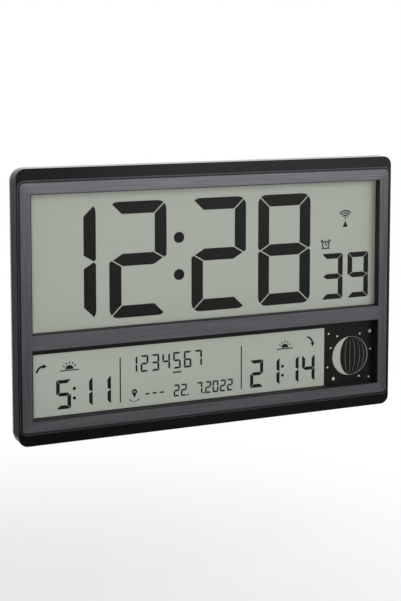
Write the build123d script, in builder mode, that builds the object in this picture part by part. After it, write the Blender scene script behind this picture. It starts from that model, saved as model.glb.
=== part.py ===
from build123d import *
from math import atan2, degrees, sqrt
import os

# Large digital wall clock, in millimetres, +Z up, with its face towards -Y.
# The origin lies on the wall, midway between the two hanging keyholes.
# Depths are counted from the face of the frame towards the wall.

os.makedirs("parts", exist_ok=True)

# Frame round the display and its windows
window_width = 365.4
upper_window_height = 133.5
lower_window_height = 68.5
divider_height = 14.2
side_border = 12.3
top_border = 12.9
bottom_border = 12.6
frame_corner = 7.0
window_corner = 0.6
frame_thickness = 2.6
rim_width = 1.2
rim_drop = 0.5
groove_width = 1.2
groove_drop = 2.0
face_chamfer = 0.3
frame_clearance = 0.15

# Front case
band_height = 10.9
side_margin = 0.9
side_flare = 3.6
front_corner = 9.0
case_corner = 12.5
case_front_drop = 1.0
front_edge_radius = 0.5
flare_depth = 11.0
seam_depth = 15.5
case_depth = 34.0
case_wall = 2.2
front_wall = 2.0

# Windows, panes and display cells
recess_depth = 9.6
tube_wall = 3.5
pane_lip = 2.0
pane_thickness = 1.5
pane_clearance = 0.15
film_thickness = 0.2
cell_margin = 5.0
front_glass = 1.1
rear_glass = 1.3
contact_ledge = 4.3
strip_height = 7.3
moon_panel_width = 57.4
moon_diameter = 41.3
moon_from_right = 27.2
moon_above_bottom = 28.95

# Frame that clamps the display cells
holder_thickness = 1.5
holder_rim = 1.8
holder_border = 9.0
holder_bar = 12.0
holder_clearance = 0.2
ear_width = 11.0
ear_spacing = 200.0

# Screws and their bosses
screw_side_inset = 19.5
screw_row_inset = 12.25
boss_radius = 4.0
boss_depth = 18.0
pilot_radius = 1.3
case_screw_radius = 1.25
case_screw_length = 12.0
head_radius = 2.8
head_height = 2.2
well_radius = 3.2
well_floor = 2.7
well_wall = 1.5
shank_hole_radius = 1.7
holder_screw_length = 7.5
board_screw_length = 7.0
board_head_height = 1.6
small_head_radius = 2.4
cross_width = 0.8
cross_reach = 1.7
cross_depth = 1.0
hex_sides = 6
head_sides = 12
inner_sides = 8

# Rear cover
back_inset = 7.0
back_edge = 1.4
cover_wall = 2.0
cover_step = 0.4
tongue_height = 2.0
tongue_thickness = 1.2
tongue_clearance = 0.15

# Hanging keyholes
keyhole_spacing = 200.0
keyhole_drop = 55.0
entry_radius = 5.0
slot_radius = 2.5
slot_rise = 9.0
pocket_wall = 1.5
pocket_room = 2.5
pocket_depth = 5.0

# Circuit board and what is on it
board_width = 140.0
board_height = 60.0
board_thickness = 1.6
board_depth = 22.0
board_u = -40.0
board_v = -12.0
board_hole_inset = 6.0
board_boss_radius = 3.0
chip_size = 14.0
chip_thickness = 1.5
chip_v = 0.0
crystal_radius = 1.5
crystal_length = 8.0
crystal_u = -14.0
crystal_v = 4.0
buzzer_radius = 8.5
buzzer_height = 5.5
buzzer_port = 2.0
buzzer_u = -76.0
buzzer_v = -21.0

# Key panel, keys and alarm switch
panel_width = 116.0
panel_height = 40.0
panel_corner = 3.0
panel_drop = 2.0
key_count = 6
key_pitch = 17.0
key_v = -2.0
key_width = 11.0
key_height = 6.0
key_edge = 0.5
key_proud = 1.4
key_clearance = 0.25
collar_margin = 1.5
collar_thickness = 0.7
collar_gap = 0.3
switch_body = 6.0
switch_height = 3.5
plunger_radius = 1.7
plunger_height = 1.0
slider_u = -14.0
slider_v = -21.0
slider_width = 5.0
slider_height = 3.6
slider_travel = 3.0
slider_lap = 0.5
slider_clearance = 0.25
slider_grooves = 0.5
slide_switch_width = 13.0
slide_switch_height = 5.5
slide_switch_depth = 4.0
reset_hole_radius = 1.0
reset_hole_u = 6.0
grille_slots = 5
grille_pitch = 2.6
grille_slot_width = 1.2
grille_slot_length = 12.0

# Battery box, cells, contacts and door
battery_radius = 7.1
battery_body = 49.2
nub_radius = 2.75
nub_height = 1.3
battery_pitch = 14.8
battery_gap = 0.3
battery_u = 66.0
battery_v = 5.0
box_length = 57.0
box_height = 30.5
box_floor = 1.5
box_floor_depth = 15.0
box_wall = 1.5
door_overlap = 2.0
door_thickness = 1.6
door_inset = 0.2
door_clearance = 0.3
door_seat_gap = 0.3
door_seat_wall = 2.6
door_corner = 1.5
hinge_barrel_radius = 1.4
door_pin_radius = 0.9
door_pin_length = 1.6
door_pin_clearance = 0.08
barrel_room = 0.5
contact_sheet = 0.4
contact_height = 9.0
contact_touch = 0.1
tail_width = 3.0
tail_reach = 10.7

# Fold-out legs
leg_side_inset = 74.5
leg_rise = 21.75
leg_width = 30.0
leg_thickness = 6.0
leg_length = 50.0
leg_inset = 0.4
leg_side_gap = 0.4
leg_floor_gap = 0.6
leg_heel_room = 1.1
finger_room = 8.0
leg_pin_radius = 1.5
leg_pin_clearance = 0.08
leg_pin_seat = 0.02
leg_core_wall = 2.0
leg_core_depth = 3.6
leg_pocket_wall = 2.5
leg_floor = 1.5

# Aerial
aerial_radius = 4.0
aerial_length = 60.0
aerial_depth = 25.5
aerial_v = 95.0
coil_radius = 5.5
coil_length = 24.0
cradle_width = 3.0
cradle_height = 13.0
cradle_spacing = 44.0
cradle_clearance = 0.1

# Display leads
ribbon_width = 45.0
ribbon_thickness = 0.3
ribbon_landing = 7.0
ribbon_setback = 1.05
upper_ribbon_u = -72.0
lower_ribbon_u = -14.0
ribbon_slot_gap = 2.5

# Sizes that follow from the ones above
frame_width = window_width + 2 * side_border
frame_height = top_border + upper_window_height + divider_height + lower_window_height + bottom_border
front_width = frame_width + 2 * side_margin
case_width = front_width + 2 * side_flare
case_height = frame_height + 2 * band_height
case_centre_z = keyhole_drop - case_height / 2
face_border = rim_width + groove_width

upper_window_v = frame_height / 2 - top_border - upper_window_height / 2
lower_window_v = bottom_border + lower_window_height / 2 - frame_height / 2
pane_back = recess_depth + pane_thickness
film_back = pane_back + film_thickness
front_glass_back = film_back + front_glass
cell_back = front_glass_back + rear_glass
holder_back = cell_back + holder_thickness
cell_width = window_width + 2 * cell_margin
upper_cell_height = upper_window_height + 2 * cell_margin
lower_cell_height = lower_window_height + 2 * cell_margin
holder_width = cell_width + 2 * (holder_clearance + holder_rim)
holder_height = frame_height - top_border - bottom_border + 2 * (cell_margin + holder_clearance + holder_rim)
holder_v = (bottom_border - top_border) / 2
screw_column = case_width / 2 - screw_side_inset
screw_row = case_height / 2 - screw_row_inset
well_seat = boss_depth + well_floor
cover_inside = case_depth - cover_wall
board_back = board_depth + board_thickness
keyhole_v = case_height / 2 - keyhole_drop

case_screw_points = [(u, v) for u in (-screw_column, 0, screw_column) for v in (-screw_row, screw_row)]
ear_points = [(u, v) for u in (-ear_spacing / 2, ear_spacing / 2) for v in (-screw_row, screw_row)]
board_screw_points = [(board_u + i * (board_width / 2 - board_hole_inset),
                       board_v + j * (board_height / 2 - board_hole_inset))
                      for i in (-1, 1) for j in (-1, 1)]
key_points = [(board_u + (i - (key_count - 1) / 2) * key_pitch, key_v) for i in range(key_count)]
windows = [(upper_window_v, upper_window_height), (lower_window_v, lower_window_height)]


def at_depth(depth):
    """Plane parallel to the display, centred on the case, with its normal to the front."""
    return Plane(origin=(0, depth - case_depth, case_centre_z), x_dir=(1, 0, 0), z_dir=(0, -1, 0))


def facing_wall(depth):
    """Plane parallel to the display with its normal to the wall."""
    return Plane(origin=(0, depth - case_depth, case_centre_z), x_dir=(1, 0, 0), z_dir=(0, 1, 0))


def side_on(u):
    """Plane across the clock at u, with depth along its x and height along its y."""
    return Plane(origin=(u, -case_depth, case_centre_z), x_dir=(0, 1, 0), z_dir=(1, 0, 0))


def block(back, front, centre, width, height, corner=0.0, mode=Mode.ADD):
    """Block between two depths, added to or cut from the piece that is being built."""
    with BuildSketch(at_depth(back)) as outline:
        with Locations(centre):
            if corner:
                RectangleRounded(width, height, corner)
            else:
                Rectangle(width, height)
    extrude(outline.sketch, amount=back - front, mode=mode)


def posts(back, front, points, radius, sides=0, mode=Mode.ADD):
    """Posts or holes between two depths, round or with flat sides where a number of them is given."""
    with BuildSketch(at_depth(back)) as outline:
        with Locations(*points):
            if sides:
                RegularPolygon(radius, sides)
            else:
                Circle(radius)
    extrude(outline.sketch, amount=back - front, mode=mode)


def cross_recesses(depth, points):
    """Cross-shaped driver recesses that open towards the wall."""
    with BuildSketch(at_depth(depth)) as outline:
        with Locations(*points):
            Rectangle(2 * cross_reach, cross_width)
            Rectangle(cross_width, 2 * cross_reach)
    extrude(outline.sketch, amount=cross_depth, mode=Mode.SUBTRACT)


# Front case: flared shell, band round the frame, two window tubes and the screw bosses
with BuildPart() as front_case:
    edge_bend = front_edge_radius * (1 - sqrt(0.5))
    with BuildSketch(at_depth(flare_depth)):
        RectangleRounded(case_width, case_height, case_corner)
    with BuildSketch(at_depth(case_front_drop + front_edge_radius)):
        RectangleRounded(front_width, case_height, front_corner)
    with BuildSketch(at_depth(case_front_drop + edge_bend)):
        RectangleRounded(front_width - 2 * edge_bend, case_height - 2 * edge_bend, front_corner - edge_bend)
    with BuildSketch(at_depth(case_front_drop)):
        RectangleRounded(front_width - 2 * front_edge_radius, case_height - 2 * front_edge_radius,
                         front_corner - front_edge_radius)
    loft(ruled=True)
    block(seam_depth, flare_depth, (0, 0), case_width, case_height, case_corner)
    # Hollow from behind, following the flare
    front_wall_back = frame_thickness + front_wall
    flare_share = (flare_depth - front_wall_back) / (flare_depth - case_front_drop - front_edge_radius)
    with BuildSketch(at_depth(flare_depth)):
        RectangleRounded(case_width - 2 * case_wall, case_height - 2 * case_wall, case_corner - case_wall)
    with BuildSketch(at_depth(front_wall_back)):
        RectangleRounded(case_width - 2 * (case_wall + side_flare * flare_share),
                         case_height - 2 * case_wall, front_corner - case_wall)
    loft(ruled=True, mode=Mode.SUBTRACT)
    block(seam_depth, flare_depth, (0, 0), case_width - 2 * case_wall, case_height - 2 * case_wall,
          case_corner - case_wall, mode=Mode.SUBTRACT)
    # Seat of the frame in the front
    block(frame_thickness, case_front_drop, (0, 0), frame_width + 2 * frame_clearance,
          frame_height + 2 * frame_clearance, frame_corner + frame_clearance, mode=Mode.SUBTRACT)
    # Window tubes, each with a rebate for its pane
    for centre_v, height in windows:
        block(pane_back, front_wall_back, (0, centre_v), window_width + 2 * tube_wall, height + 2 * tube_wall)
    # Bosses for the cover's and the holder's screws, with ribs to the outer wall
    posts(boss_depth, front_wall_back, case_screw_points, boss_radius, inner_sides)
    posts(cell_back, front_wall_back, ear_points, boss_radius, inner_sides)
    for u, v in case_screw_points + ear_points:
        outward = 1 if v > 0 else -1
        rib_length = screw_row_inset - case_wall / 2
        block(flare_depth, front_wall_back, (u, v + outward * rib_length / 2), box_wall, rib_length)
    for centre_v, height in windows:
        block(pane_back, frame_thickness, (0, centre_v), window_width + 2 * frame_clearance,
              height + 2 * frame_clearance, mode=Mode.SUBTRACT)
        block(pane_back, recess_depth, (0, centre_v), window_width + 2 * pane_lip, height + 2 * pane_lip,
              mode=Mode.SUBTRACT)
    posts(boss_depth, front_wall_back, case_screw_points, pilot_radius, inner_sides, mode=Mode.SUBTRACT)
    posts(cell_back, front_wall_back, ear_points, pilot_radius, inner_sides, mode=Mode.SUBTRACT)
front_case.part.label = "front_case"
export_step(front_case.part, "parts/front_case.step")

# Frame: low rim, groove and raised face, with a window each side of the divider
with BuildPart() as bezel_frame:
    block(frame_thickness, rim_drop, (0, 0), frame_width, frame_height, frame_corner)
    block(rim_drop, 0, (0, 0), frame_width - 2 * face_border, frame_height - 2 * face_border,
          frame_corner - face_border)
    chamfer(bezel_frame.faces().sort_by(Axis.Y)[0].edges(), length=face_chamfer)
    with BuildSketch(at_depth(groove_drop)):
        RectangleRounded(frame_width - 2 * rim_width, frame_height - 2 * rim_width, frame_corner - rim_width)
        RectangleRounded(frame_width - 2 * face_border, frame_height - 2 * face_border,
                         frame_corner - face_border, mode=Mode.SUBTRACT)
    extrude(amount=groove_drop - rim_drop, mode=Mode.SUBTRACT)
    for centre_v, height in windows:
        block(frame_thickness, 0, (0, centre_v), window_width, height, window_corner, mode=Mode.SUBTRACT)
bezel_frame.part.label = "bezel_frame"
export_step(bezel_frame.part, "parts/bezel_frame.step")

# Clear panes in the rebates of the tubes
pane_growth = 2 * (pane_lip - pane_clearance)
with BuildPart() as upper_lens:
    block(pane_back, recess_depth, (0, upper_window_v), window_width + pane_growth,
          upper_window_height + pane_growth)
upper_lens.part.label = "upper_lens"
export_step(upper_lens.part, "parts/upper_lens.step")

with BuildPart() as lower_lens:
    block(pane_back, recess_depth, (0, lower_window_v), window_width + pane_growth,
          lower_window_height + pane_growth)
lower_lens.part.label = "lower_lens"
export_step(lower_lens.part, "parts/lower_lens.step")

# Black film over the lower display: strip along its top, moon panel with a round hole
lower_window_bottom = lower_window_v - lower_window_height / 2
film_view_width = window_width - moon_panel_width
film_view_height = lower_window_height - strip_height
with BuildPart() as display_mask:
    block(film_back, pane_back, (0, lower_window_v), window_width + 2 * tube_wall,
          lower_window_height + 2 * tube_wall)
    block(film_back, pane_back, ((film_view_width - window_width) / 2,
          lower_window_bottom + film_view_height / 2), film_view_width, film_view_height, mode=Mode.SUBTRACT)
    posts(film_back, pane_back, [(window_width / 2 - moon_from_right,
          lower_window_bottom + moon_above_bottom)], moon_diameter / 2, mode=Mode.SUBTRACT)
display_mask.part.label = "display_mask"
export_step(display_mask.part, "parts/display_mask.step")

# Display cells: two sheets of glass, the rear one short of the contact ledge next to the divider
with BuildPart() as upper_lcd:
    block(front_glass_back, film_back, (0, upper_window_v), cell_width, upper_cell_height)
    block(cell_back, front_glass_back, (0, upper_window_v + contact_ledge / 2), cell_width,
          upper_cell_height - contact_ledge)
upper_lcd.part.label = "upper_lcd"
export_step(upper_lcd.part, "parts/upper_lcd.step")

with BuildPart() as lower_lcd:
    block(front_glass_back, film_back, (0, lower_window_v), cell_width, lower_cell_height)
    block(cell_back, front_glass_back, (0, lower_window_v - contact_ledge / 2), cell_width,
          lower_cell_height - contact_ledge)
lower_lcd.part.label = "lower_lcd"
export_step(lower_lcd.part, "parts/lower_lcd.step")

# Holder: plate behind the cells with a rim round them, screwed on by four ears
upper_cell_bottom = upper_window_v - upper_cell_height / 2
lower_cell_top = lower_window_v + lower_cell_height / 2
holder_top = holder_v + holder_height / 2
holder_bottom = holder_v - holder_height / 2
middle_bar_top = upper_cell_bottom + contact_ledge + holder_border
middle_bar_bottom = lower_cell_top - contact_ledge - holder_border
opening_width = holder_width / 2 - holder_rim - holder_border - holder_bar / 2
slot_left = upper_ribbon_u - ribbon_width / 2 - ribbon_slot_gap
slot_right = lower_ribbon_u + ribbon_width / 2 + ribbon_slot_gap
with BuildPart() as lcd_holder:
    block(holder_back, film_back, (0, holder_v), holder_width, holder_height)
    block(cell_back, film_back, (0, holder_v), holder_width - 2 * holder_rim,
          holder_height - 2 * holder_rim, mode=Mode.SUBTRACT)
    for u, v in ear_points:
        ear_end = abs(v) + ear_width / 2
        ear_start = holder_height / 2 - holder_rim
        ear_v = (ear_end + ear_start) / 2 * (1 if v > 0 else -1)
        block(holder_back, cell_back, (u, ear_v), ear_width, ear_end - ear_start)
    posts(holder_back, cell_back, ear_points, shank_hole_radius, inner_sides, mode=Mode.SUBTRACT)
    for side in (-1, 1):
        opening_u = side * (opening_width + holder_bar) / 2
        upper_opening = holder_top - holder_rim - holder_border - middle_bar_top
        block(holder_back, cell_back, (opening_u, middle_bar_top + upper_opening / 2), opening_width,
              upper_opening, mode=Mode.SUBTRACT)
        lower_opening = middle_bar_bottom - holder_bottom - holder_rim - holder_border
        block(holder_back, cell_back, (opening_u, middle_bar_bottom - lower_opening / 2), opening_width,
              lower_opening, mode=Mode.SUBTRACT)
    block(holder_back, cell_back, ((slot_left + slot_right) / 2, (upper_cell_bottom + lower_cell_top) / 2),
          slot_right - slot_left, upper_cell_bottom - lower_cell_top + 2 * ribbon_slot_gap,
          mode=Mode.SUBTRACT)
lcd_holder.part.label = "lcd_holder"
export_step(lcd_holder.part, "parts/lcd_holder.step")

with BuildPart() as holder_screws:
    posts(holder_back, holder_back - holder_screw_length, ear_points, case_screw_radius, inner_sides)
    posts(holder_back + head_height, holder_back, ear_points, head_radius, hex_sides)
holder_screws.part.label = "holder_screws"
export_step(holder_screws.part, "parts/holder_screws.step")

# Circuit board with its screws
with BuildPart() as main_board:
    block(board_back, board_depth, (board_u, board_v), board_width, board_height)
    posts(board_back, board_depth, board_screw_points, shank_hole_radius, inner_sides, mode=Mode.SUBTRACT)
main_board.part.label = "main_board"
export_step(main_board.part, "parts/main_board.step")

with BuildPart() as board_screws:
    posts(board_depth + board_screw_length, board_depth, board_screw_points, case_screw_radius, inner_sides)
    posts(board_depth, board_depth - board_head_height, board_screw_points, small_head_radius, hex_sides)
board_screws.part.label = "board_screws"
export_step(board_screws.part, "parts/board_screws.step")

with BuildPart() as controller_chip:
    block(board_depth, board_depth - chip_thickness, (board_u, chip_v), chip_size, chip_size)
    chamfer(controller_chip.faces().sort_by(Axis.Y)[0].edges(), length=face_chamfer)
controller_chip.part.label = "controller_chip"
export_step(controller_chip.part, "parts/controller_chip.step")

with BuildPart() as quartz_crystal:
    with BuildSketch(side_on(crystal_u)):
        with Locations((board_depth - crystal_radius, crystal_v)):
            Circle(crystal_radius)
    extrude(amount=crystal_length)
quartz_crystal.part.label = "quartz_crystal"
export_step(quartz_crystal.part, "parts/quartz_crystal.step")

with BuildPart() as buzzer:
    posts(board_back + buzzer_height, board_back, [(buzzer_u, buzzer_v)], buzzer_radius)
    posts(board_back + buzzer_height, board_back + buzzer_height / 2, [(buzzer_u, buzzer_v)],
          buzzer_port / 2, inner_sides, mode=Mode.SUBTRACT)
buzzer.part.label = "buzzer"
export_step(buzzer.part, "parts/buzzer.step")

with BuildPart() as tact_switches:
    for point in key_points:
        block(board_back + switch_height, board_back, point, switch_body, switch_body)
    posts(board_back + switch_height + plunger_height, board_back + switch_height, key_points, plunger_radius,
          inner_sides)
tact_switches.part.label = "tact_switches"
export_step(tact_switches.part, "parts/tact_switches.step")

# Keys: caps with a collar behind the panel wall, above the switch plungers
panel_back = case_depth - panel_drop
panel_inside = panel_back - cover_wall
collar_back = panel_inside - collar_gap
collar_front = collar_back - collar_thickness


def build_key(point):
    """Push key with a bevelled cap and the collar that keeps it in the panel."""
    with BuildPart() as key:
        block(panel_back + key_proud, collar_back, point, key_width, key_height)
        chamfer(key.faces().sort_by(Axis.Y)[-1].edges(), length=key_edge)
        block(collar_back, collar_front, point, key_width + 2 * collar_margin,
              key_height + 2 * collar_margin)
    return key.part


for number, point in enumerate(key_points, start=1):
    key_part = build_key(point)
    key_part.label = f"key_{number}"
    export_step(key_part, f"parts/key_{number}.step")

# Alarm switch: body on the board, knob in the panel's slot, drawn at the off end of its travel
slider_rest_u = slider_u - slider_travel / 2
with BuildPart() as alarm_switch:
    block(board_back + slide_switch_depth, board_back, (slider_u, slider_v), slide_switch_width,
          slide_switch_height)
alarm_switch.part.label = "alarm_switch"
export_step(alarm_switch.part, "parts/alarm_switch.step")

with BuildPart() as alarm_slider:
    block(panel_back + key_proud, collar_back, (slider_rest_u, slider_v), slider_width, slider_height)
    with BuildSketch(at_depth(panel_back + key_proud)):
        with GridLocations(slider_height / 2, 0, 3, 1):
            with Locations((slider_rest_u, slider_v)):
                Rectangle(cross_width, slider_height)
    extrude(amount=slider_grooves, mode=Mode.SUBTRACT)
    block(collar_back, collar_front, (slider_rest_u, slider_v),
          slider_width + 2 * (slider_travel + slider_lap), slider_height + 2 * collar_margin)
    block(collar_front, board_back + slide_switch_depth + collar_gap, (slider_rest_u, slider_v),
          switch_height / 2, switch_height / 2)
alarm_slider.part.label = "alarm_slider"
export_step(alarm_slider.part, "parts/alarm_slider.step")

# Battery cells, side by side, pointing opposite ways
battery_depth = box_floor_depth + box_floor + battery_gap + battery_radius
battery_length = battery_body + nub_height


def build_battery(v, nub_side):
    """Round cell along X with its contact nub on one end."""
    with BuildPart() as battery:
        with BuildSketch(side_on(battery_u - nub_side * battery_length / 2)):
            with Locations((battery_depth, v)):
                Circle(battery_radius)
        extrude(amount=nub_side * battery_body)
        with BuildSketch(side_on(battery_u + nub_side * battery_length / 2)):
            with Locations((battery_depth, v)):
                RegularPolygon(nub_radius, head_sides)
        extrude(amount=-nub_side * nub_height)
    return battery.part


upper_battery_v = battery_v + battery_pitch / 2
lower_battery_v = battery_v - battery_pitch / 2
battery_upper = build_battery(upper_battery_v, -1)
battery_upper.label = "battery_upper"
export_step(battery_upper, "parts/battery_upper.step")
battery_lower = build_battery(lower_battery_v, 1)
battery_lower.label = "battery_lower"
export_step(battery_lower, "parts/battery_lower.step")

# Battery contacts: bent sheet strips, with tails that reach the board through the box's end wall
box_left = battery_u - box_length / 2
box_right = battery_u + box_length / 2
left_sheet = box_left + contact_sheet / 2
right_sheet = box_right - contact_sheet / 2
left_touch = battery_u - battery_length / 2 - contact_touch - contact_sheet / 2
right_touch = battery_u + battery_length / 2 + contact_touch + contact_sheet / 2
bump = nub_radius / 2
contact_half = battery_radius - 2 * contact_sheet
contact_back = battery_depth + contact_height / 2
plus_tail_v = upper_battery_v + contact_half - tail_width / 2
minus_tail_v = lower_battery_v


def bent_strip(points):
    """Strip of sheet metal, bent along the points as seen from the front."""
    with BuildSketch(at_depth(contact_back)) as strip:
        with BuildLine():
            Polyline(*points)
        trace(line_width=contact_sheet)
    extrude(strip.sketch, amount=contact_height)


def contact_tail(v):
    """Tail from a contact through the end wall to the back of the board."""
    block(board_back + contact_sheet, board_back, (left_sheet - tail_reach / 2, v), tail_reach, tail_width)


with BuildPart() as contact_plus:
    bent_strip([(left_sheet, upper_battery_v - contact_half), (left_sheet, upper_battery_v - 2 * bump),
                (left_touch, upper_battery_v - bump), (left_touch, upper_battery_v + bump),
                (left_sheet, upper_battery_v + 2 * bump), (left_sheet, upper_battery_v + contact_half)])
    contact_tail(plus_tail_v)
contact_plus.part.label = "contact_plus"
export_step(contact_plus.part, "parts/contact_plus.step")

with BuildPart() as contact_minus:
    bent_strip([(left_sheet, lower_battery_v - contact_half), (left_sheet, lower_battery_v + contact_half),
                (left_touch, lower_battery_v - bump)])
    contact_tail(minus_tail_v)
contact_minus.part.label = "contact_minus"
export_step(contact_minus.part, "parts/contact_minus.step")

with BuildPart() as contact_bridge:
    bent_strip([(right_touch, upper_battery_v - bump), (right_sheet, upper_battery_v + contact_half),
                (right_sheet, lower_battery_v + 2 * bump), (right_touch, lower_battery_v + bump),
                (right_touch, lower_battery_v - bump), (right_sheet, lower_battery_v - 2 * bump),
                (right_sheet, lower_battery_v - contact_half)])
contact_bridge.part.label = "contact_bridge"
export_step(contact_bridge.part, "parts/contact_bridge.step")

# Battery door: plate with a hinge barrel and two pins along its lower edge
door_width = box_length + 2 * door_overlap
door_height = box_height + 2 * door_overlap
door_back = case_depth - door_inset
door_front = door_back - door_thickness
door_bottom = battery_v - door_height / 2
door_axis_v = door_bottom + hinge_barrel_radius
door_axis_depth = door_back - hinge_barrel_radius
with BuildPart() as battery_door:
    plate_height = door_height - hinge_barrel_radius
    block(door_back, door_front, (battery_u, door_axis_v + plate_height / 2), door_width, plate_height)
    fillet(battery_door.edges().filter_by(Axis.Y).group_by(Axis.Z)[-1], radius=door_corner)
    with BuildSketch(side_on(battery_u - door_width / 2)):
        with Locations((door_axis_depth, door_axis_v)):
            Circle(hinge_barrel_radius)
    extrude(amount=door_width)
    with BuildSketch(side_on(battery_u - door_width / 2 - door_pin_length)):
        with Locations((door_axis_depth, door_axis_v)):
            Circle(door_pin_radius)
    extrude(amount=door_width + 2 * door_pin_length)
    # Thumb notch with grip ribs near the free edge
    notch_v = battery_v + door_height / 2 - 3 * door_corner
    block(door_back, door_back - door_thickness / 2, (battery_u, notch_v), key_width, 2 * door_corner,
          mode=Mode.SUBTRACT)
    for i in (-1, 0, 1):
        block(door_back, door_front, (battery_u + i * key_width / 4, notch_v), cross_width, door_corner)
battery_door.part.label = "battery_door"
export_step(battery_door.part, "parts/battery_door.step")

# Rear cover: tapered tray with everything that the back carries
leg_hinge_v = leg_rise - case_height / 2
leg_hinge_depth = case_depth - leg_inset - leg_thickness / 2
leg_pocket_floor = leg_hinge_depth - leg_thickness / 2 - leg_floor_gap
leg_pocket_bottom = leg_hinge_v - leg_thickness / 2 - leg_heel_room
leg_pocket_top = leg_hinge_v + leg_length + finger_room
leg_pocket_width = leg_width + 2 * leg_side_gap
leg_pocket_height = leg_pocket_top - leg_pocket_bottom
leg_pocket_v = (leg_pocket_top + leg_pocket_bottom) / 2
leg_us = (leg_side_inset - case_width / 2, case_width / 2 - leg_side_inset)
keyhole_us = (-keyhole_spacing / 2, keyhole_spacing / 2)
pocket_radius = entry_radius + pocket_room
pocket_front = cover_inside - pocket_depth
door_seat_width = door_width + 2 * door_clearance
door_seat_bottom = door_bottom - barrel_room
door_seat_top = battery_v + door_height / 2 + door_clearance
door_seat_height = door_seat_top - door_seat_bottom
door_seat_v = (door_seat_top + door_seat_bottom) / 2
trough_front = door_axis_depth - hinge_barrel_radius - barrel_room
trough_height = 2 * (hinge_barrel_radius + barrel_room)
seat_flange_front = trough_front - cover_wall
with BuildPart() as rear_cover:
    back_taper = degrees(atan2(back_inset - cover_step, case_depth - seam_depth))
    with BuildSketch(facing_wall(seam_depth)):
        RectangleRounded(case_width - 2 * cover_step, case_height - 2 * cover_step, case_corner - cover_step)
    extrude(amount=case_depth - seam_depth, taper=back_taper)
    chamfer(rear_cover.faces().sort_by(Axis.Y)[-1].edges(), length=back_edge)
    with BuildSketch(facing_wall(seam_depth)):
        RectangleRounded(case_width - 2 * case_wall, case_height - 2 * case_wall, case_corner - case_wall)
    extrude(amount=cover_inside - seam_depth, taper=back_taper, mode=Mode.SUBTRACT)
    # Tongues along the four sides that locate the cover inside the front case
    tongue_back = seam_depth + tongue_height
    tongue_front = seam_depth - tongue_height
    tongue_u = case_width / 2 - case_wall - tongue_clearance - tongue_thickness / 2
    tongue_v = case_height / 2 - case_wall - tongue_clearance - tongue_thickness / 2
    for side in (-1, 1):
        block(tongue_back, tongue_front, (side * tongue_u, 0), tongue_thickness,
              case_height - 2 * (case_wall + case_corner))
        block(tongue_back, tongue_front, (0, side * tongue_v),
              case_width - 2 * (case_wall + case_corner), tongue_thickness)
    # Material for the columns, bosses, pockets, panel, battery box and cradles
    posts(cover_inside, boss_depth, case_screw_points, well_radius + well_wall, inner_sides)
    posts(cover_inside, board_back, board_screw_points, board_boss_radius, inner_sides)
    pocket_v = keyhole_v + slot_rise / 2
    pocket_height = slot_rise + 2 * pocket_radius
    for u in keyhole_us:
        block(cover_inside, pocket_front - pocket_wall, (u, pocket_v), 2 * (pocket_radius + pocket_wall),
              pocket_height + 2 * pocket_wall)
    for u in leg_us:
        block(cover_inside, leg_pocket_floor - leg_floor, (u, leg_pocket_v),
              leg_pocket_width + 2 * leg_pocket_wall, leg_pocket_height + 2 * leg_pocket_wall)
    block(cover_inside, panel_inside, (board_u, board_v), panel_width + 2 * cover_wall,
          panel_height + 2 * cover_wall)
    block(cover_inside, box_floor_depth, (battery_u, battery_v), box_length + 2 * box_wall,
          box_height + 2 * box_wall)
    block(cover_inside, seat_flange_front, (battery_u, door_seat_v), door_seat_width + 2 * door_seat_wall,
          door_seat_height + 2 * door_seat_wall)
    for u in (-cradle_spacing / 2, cradle_spacing / 2):
        block(cover_inside, aerial_depth - aerial_radius / 2, (u, aerial_v), cradle_width, cradle_height)
    # Screw wells and pilot holes
    posts(well_seat, boss_depth, case_screw_points, shank_hole_radius, inner_sides, mode=Mode.SUBTRACT)
    posts(case_depth, well_seat, case_screw_points, well_radius, mode=Mode.SUBTRACT)
    posts(cover_inside, board_back, board_screw_points, pilot_radius, inner_sides, mode=Mode.SUBTRACT)
    # Keyholes and the room behind them for the heads of the wall screws
    for u in keyhole_us:
        block(cover_inside, pocket_front, (u, pocket_v), 2 * pocket_radius, pocket_height,
              mode=Mode.SUBTRACT)
        block(case_depth, cover_inside, (u, pocket_v), 2 * slot_radius, slot_rise, mode=Mode.SUBTRACT)
        posts(case_depth, cover_inside, [(u, keyhole_v)], entry_radius, mode=Mode.SUBTRACT)
        posts(case_depth, cover_inside, [(u, keyhole_v + slot_rise)], slot_radius, mode=Mode.SUBTRACT)
    # Leg pockets and the holes of their hinge pins
    for u in leg_us:
        block(case_depth, leg_pocket_floor, (u, leg_pocket_v), leg_pocket_width, leg_pocket_height,
              mode=Mode.SUBTRACT)
        with BuildSketch(side_on(u - leg_pocket_width / 2 - leg_pocket_wall)):
            with Locations((leg_hinge_depth, leg_hinge_v)):
                Circle(leg_pin_radius + leg_pin_seat)
        extrude(amount=leg_pocket_width + 2 * leg_pocket_wall, mode=Mode.SUBTRACT)
    # Key panel with its holes, slot and sound grille
    block(case_depth, panel_back, (board_u, board_v), panel_width, panel_height, panel_corner,
          mode=Mode.SUBTRACT)
    for point in key_points:
        block(panel_back, panel_inside, point, key_width + 2 * key_clearance, key_height + 2 * key_clearance,
              mode=Mode.SUBTRACT)
    block(panel_back, panel_inside, (slider_u, slider_v), slider_width + slider_travel + 2 * slider_clearance,
          slider_height + 2 * slider_clearance, mode=Mode.SUBTRACT)
    posts(panel_back, panel_inside, [(reset_hole_u, slider_v)], reset_hole_radius, mode=Mode.SUBTRACT)
    for i in range(grille_slots):
        slot_u = buzzer_u + (i - (grille_slots - 1) / 2) * grille_pitch
        block(panel_back, panel_inside, (slot_u, buzzer_v), grille_slot_width, grille_slot_length,
              mode=Mode.SUBTRACT)
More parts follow.
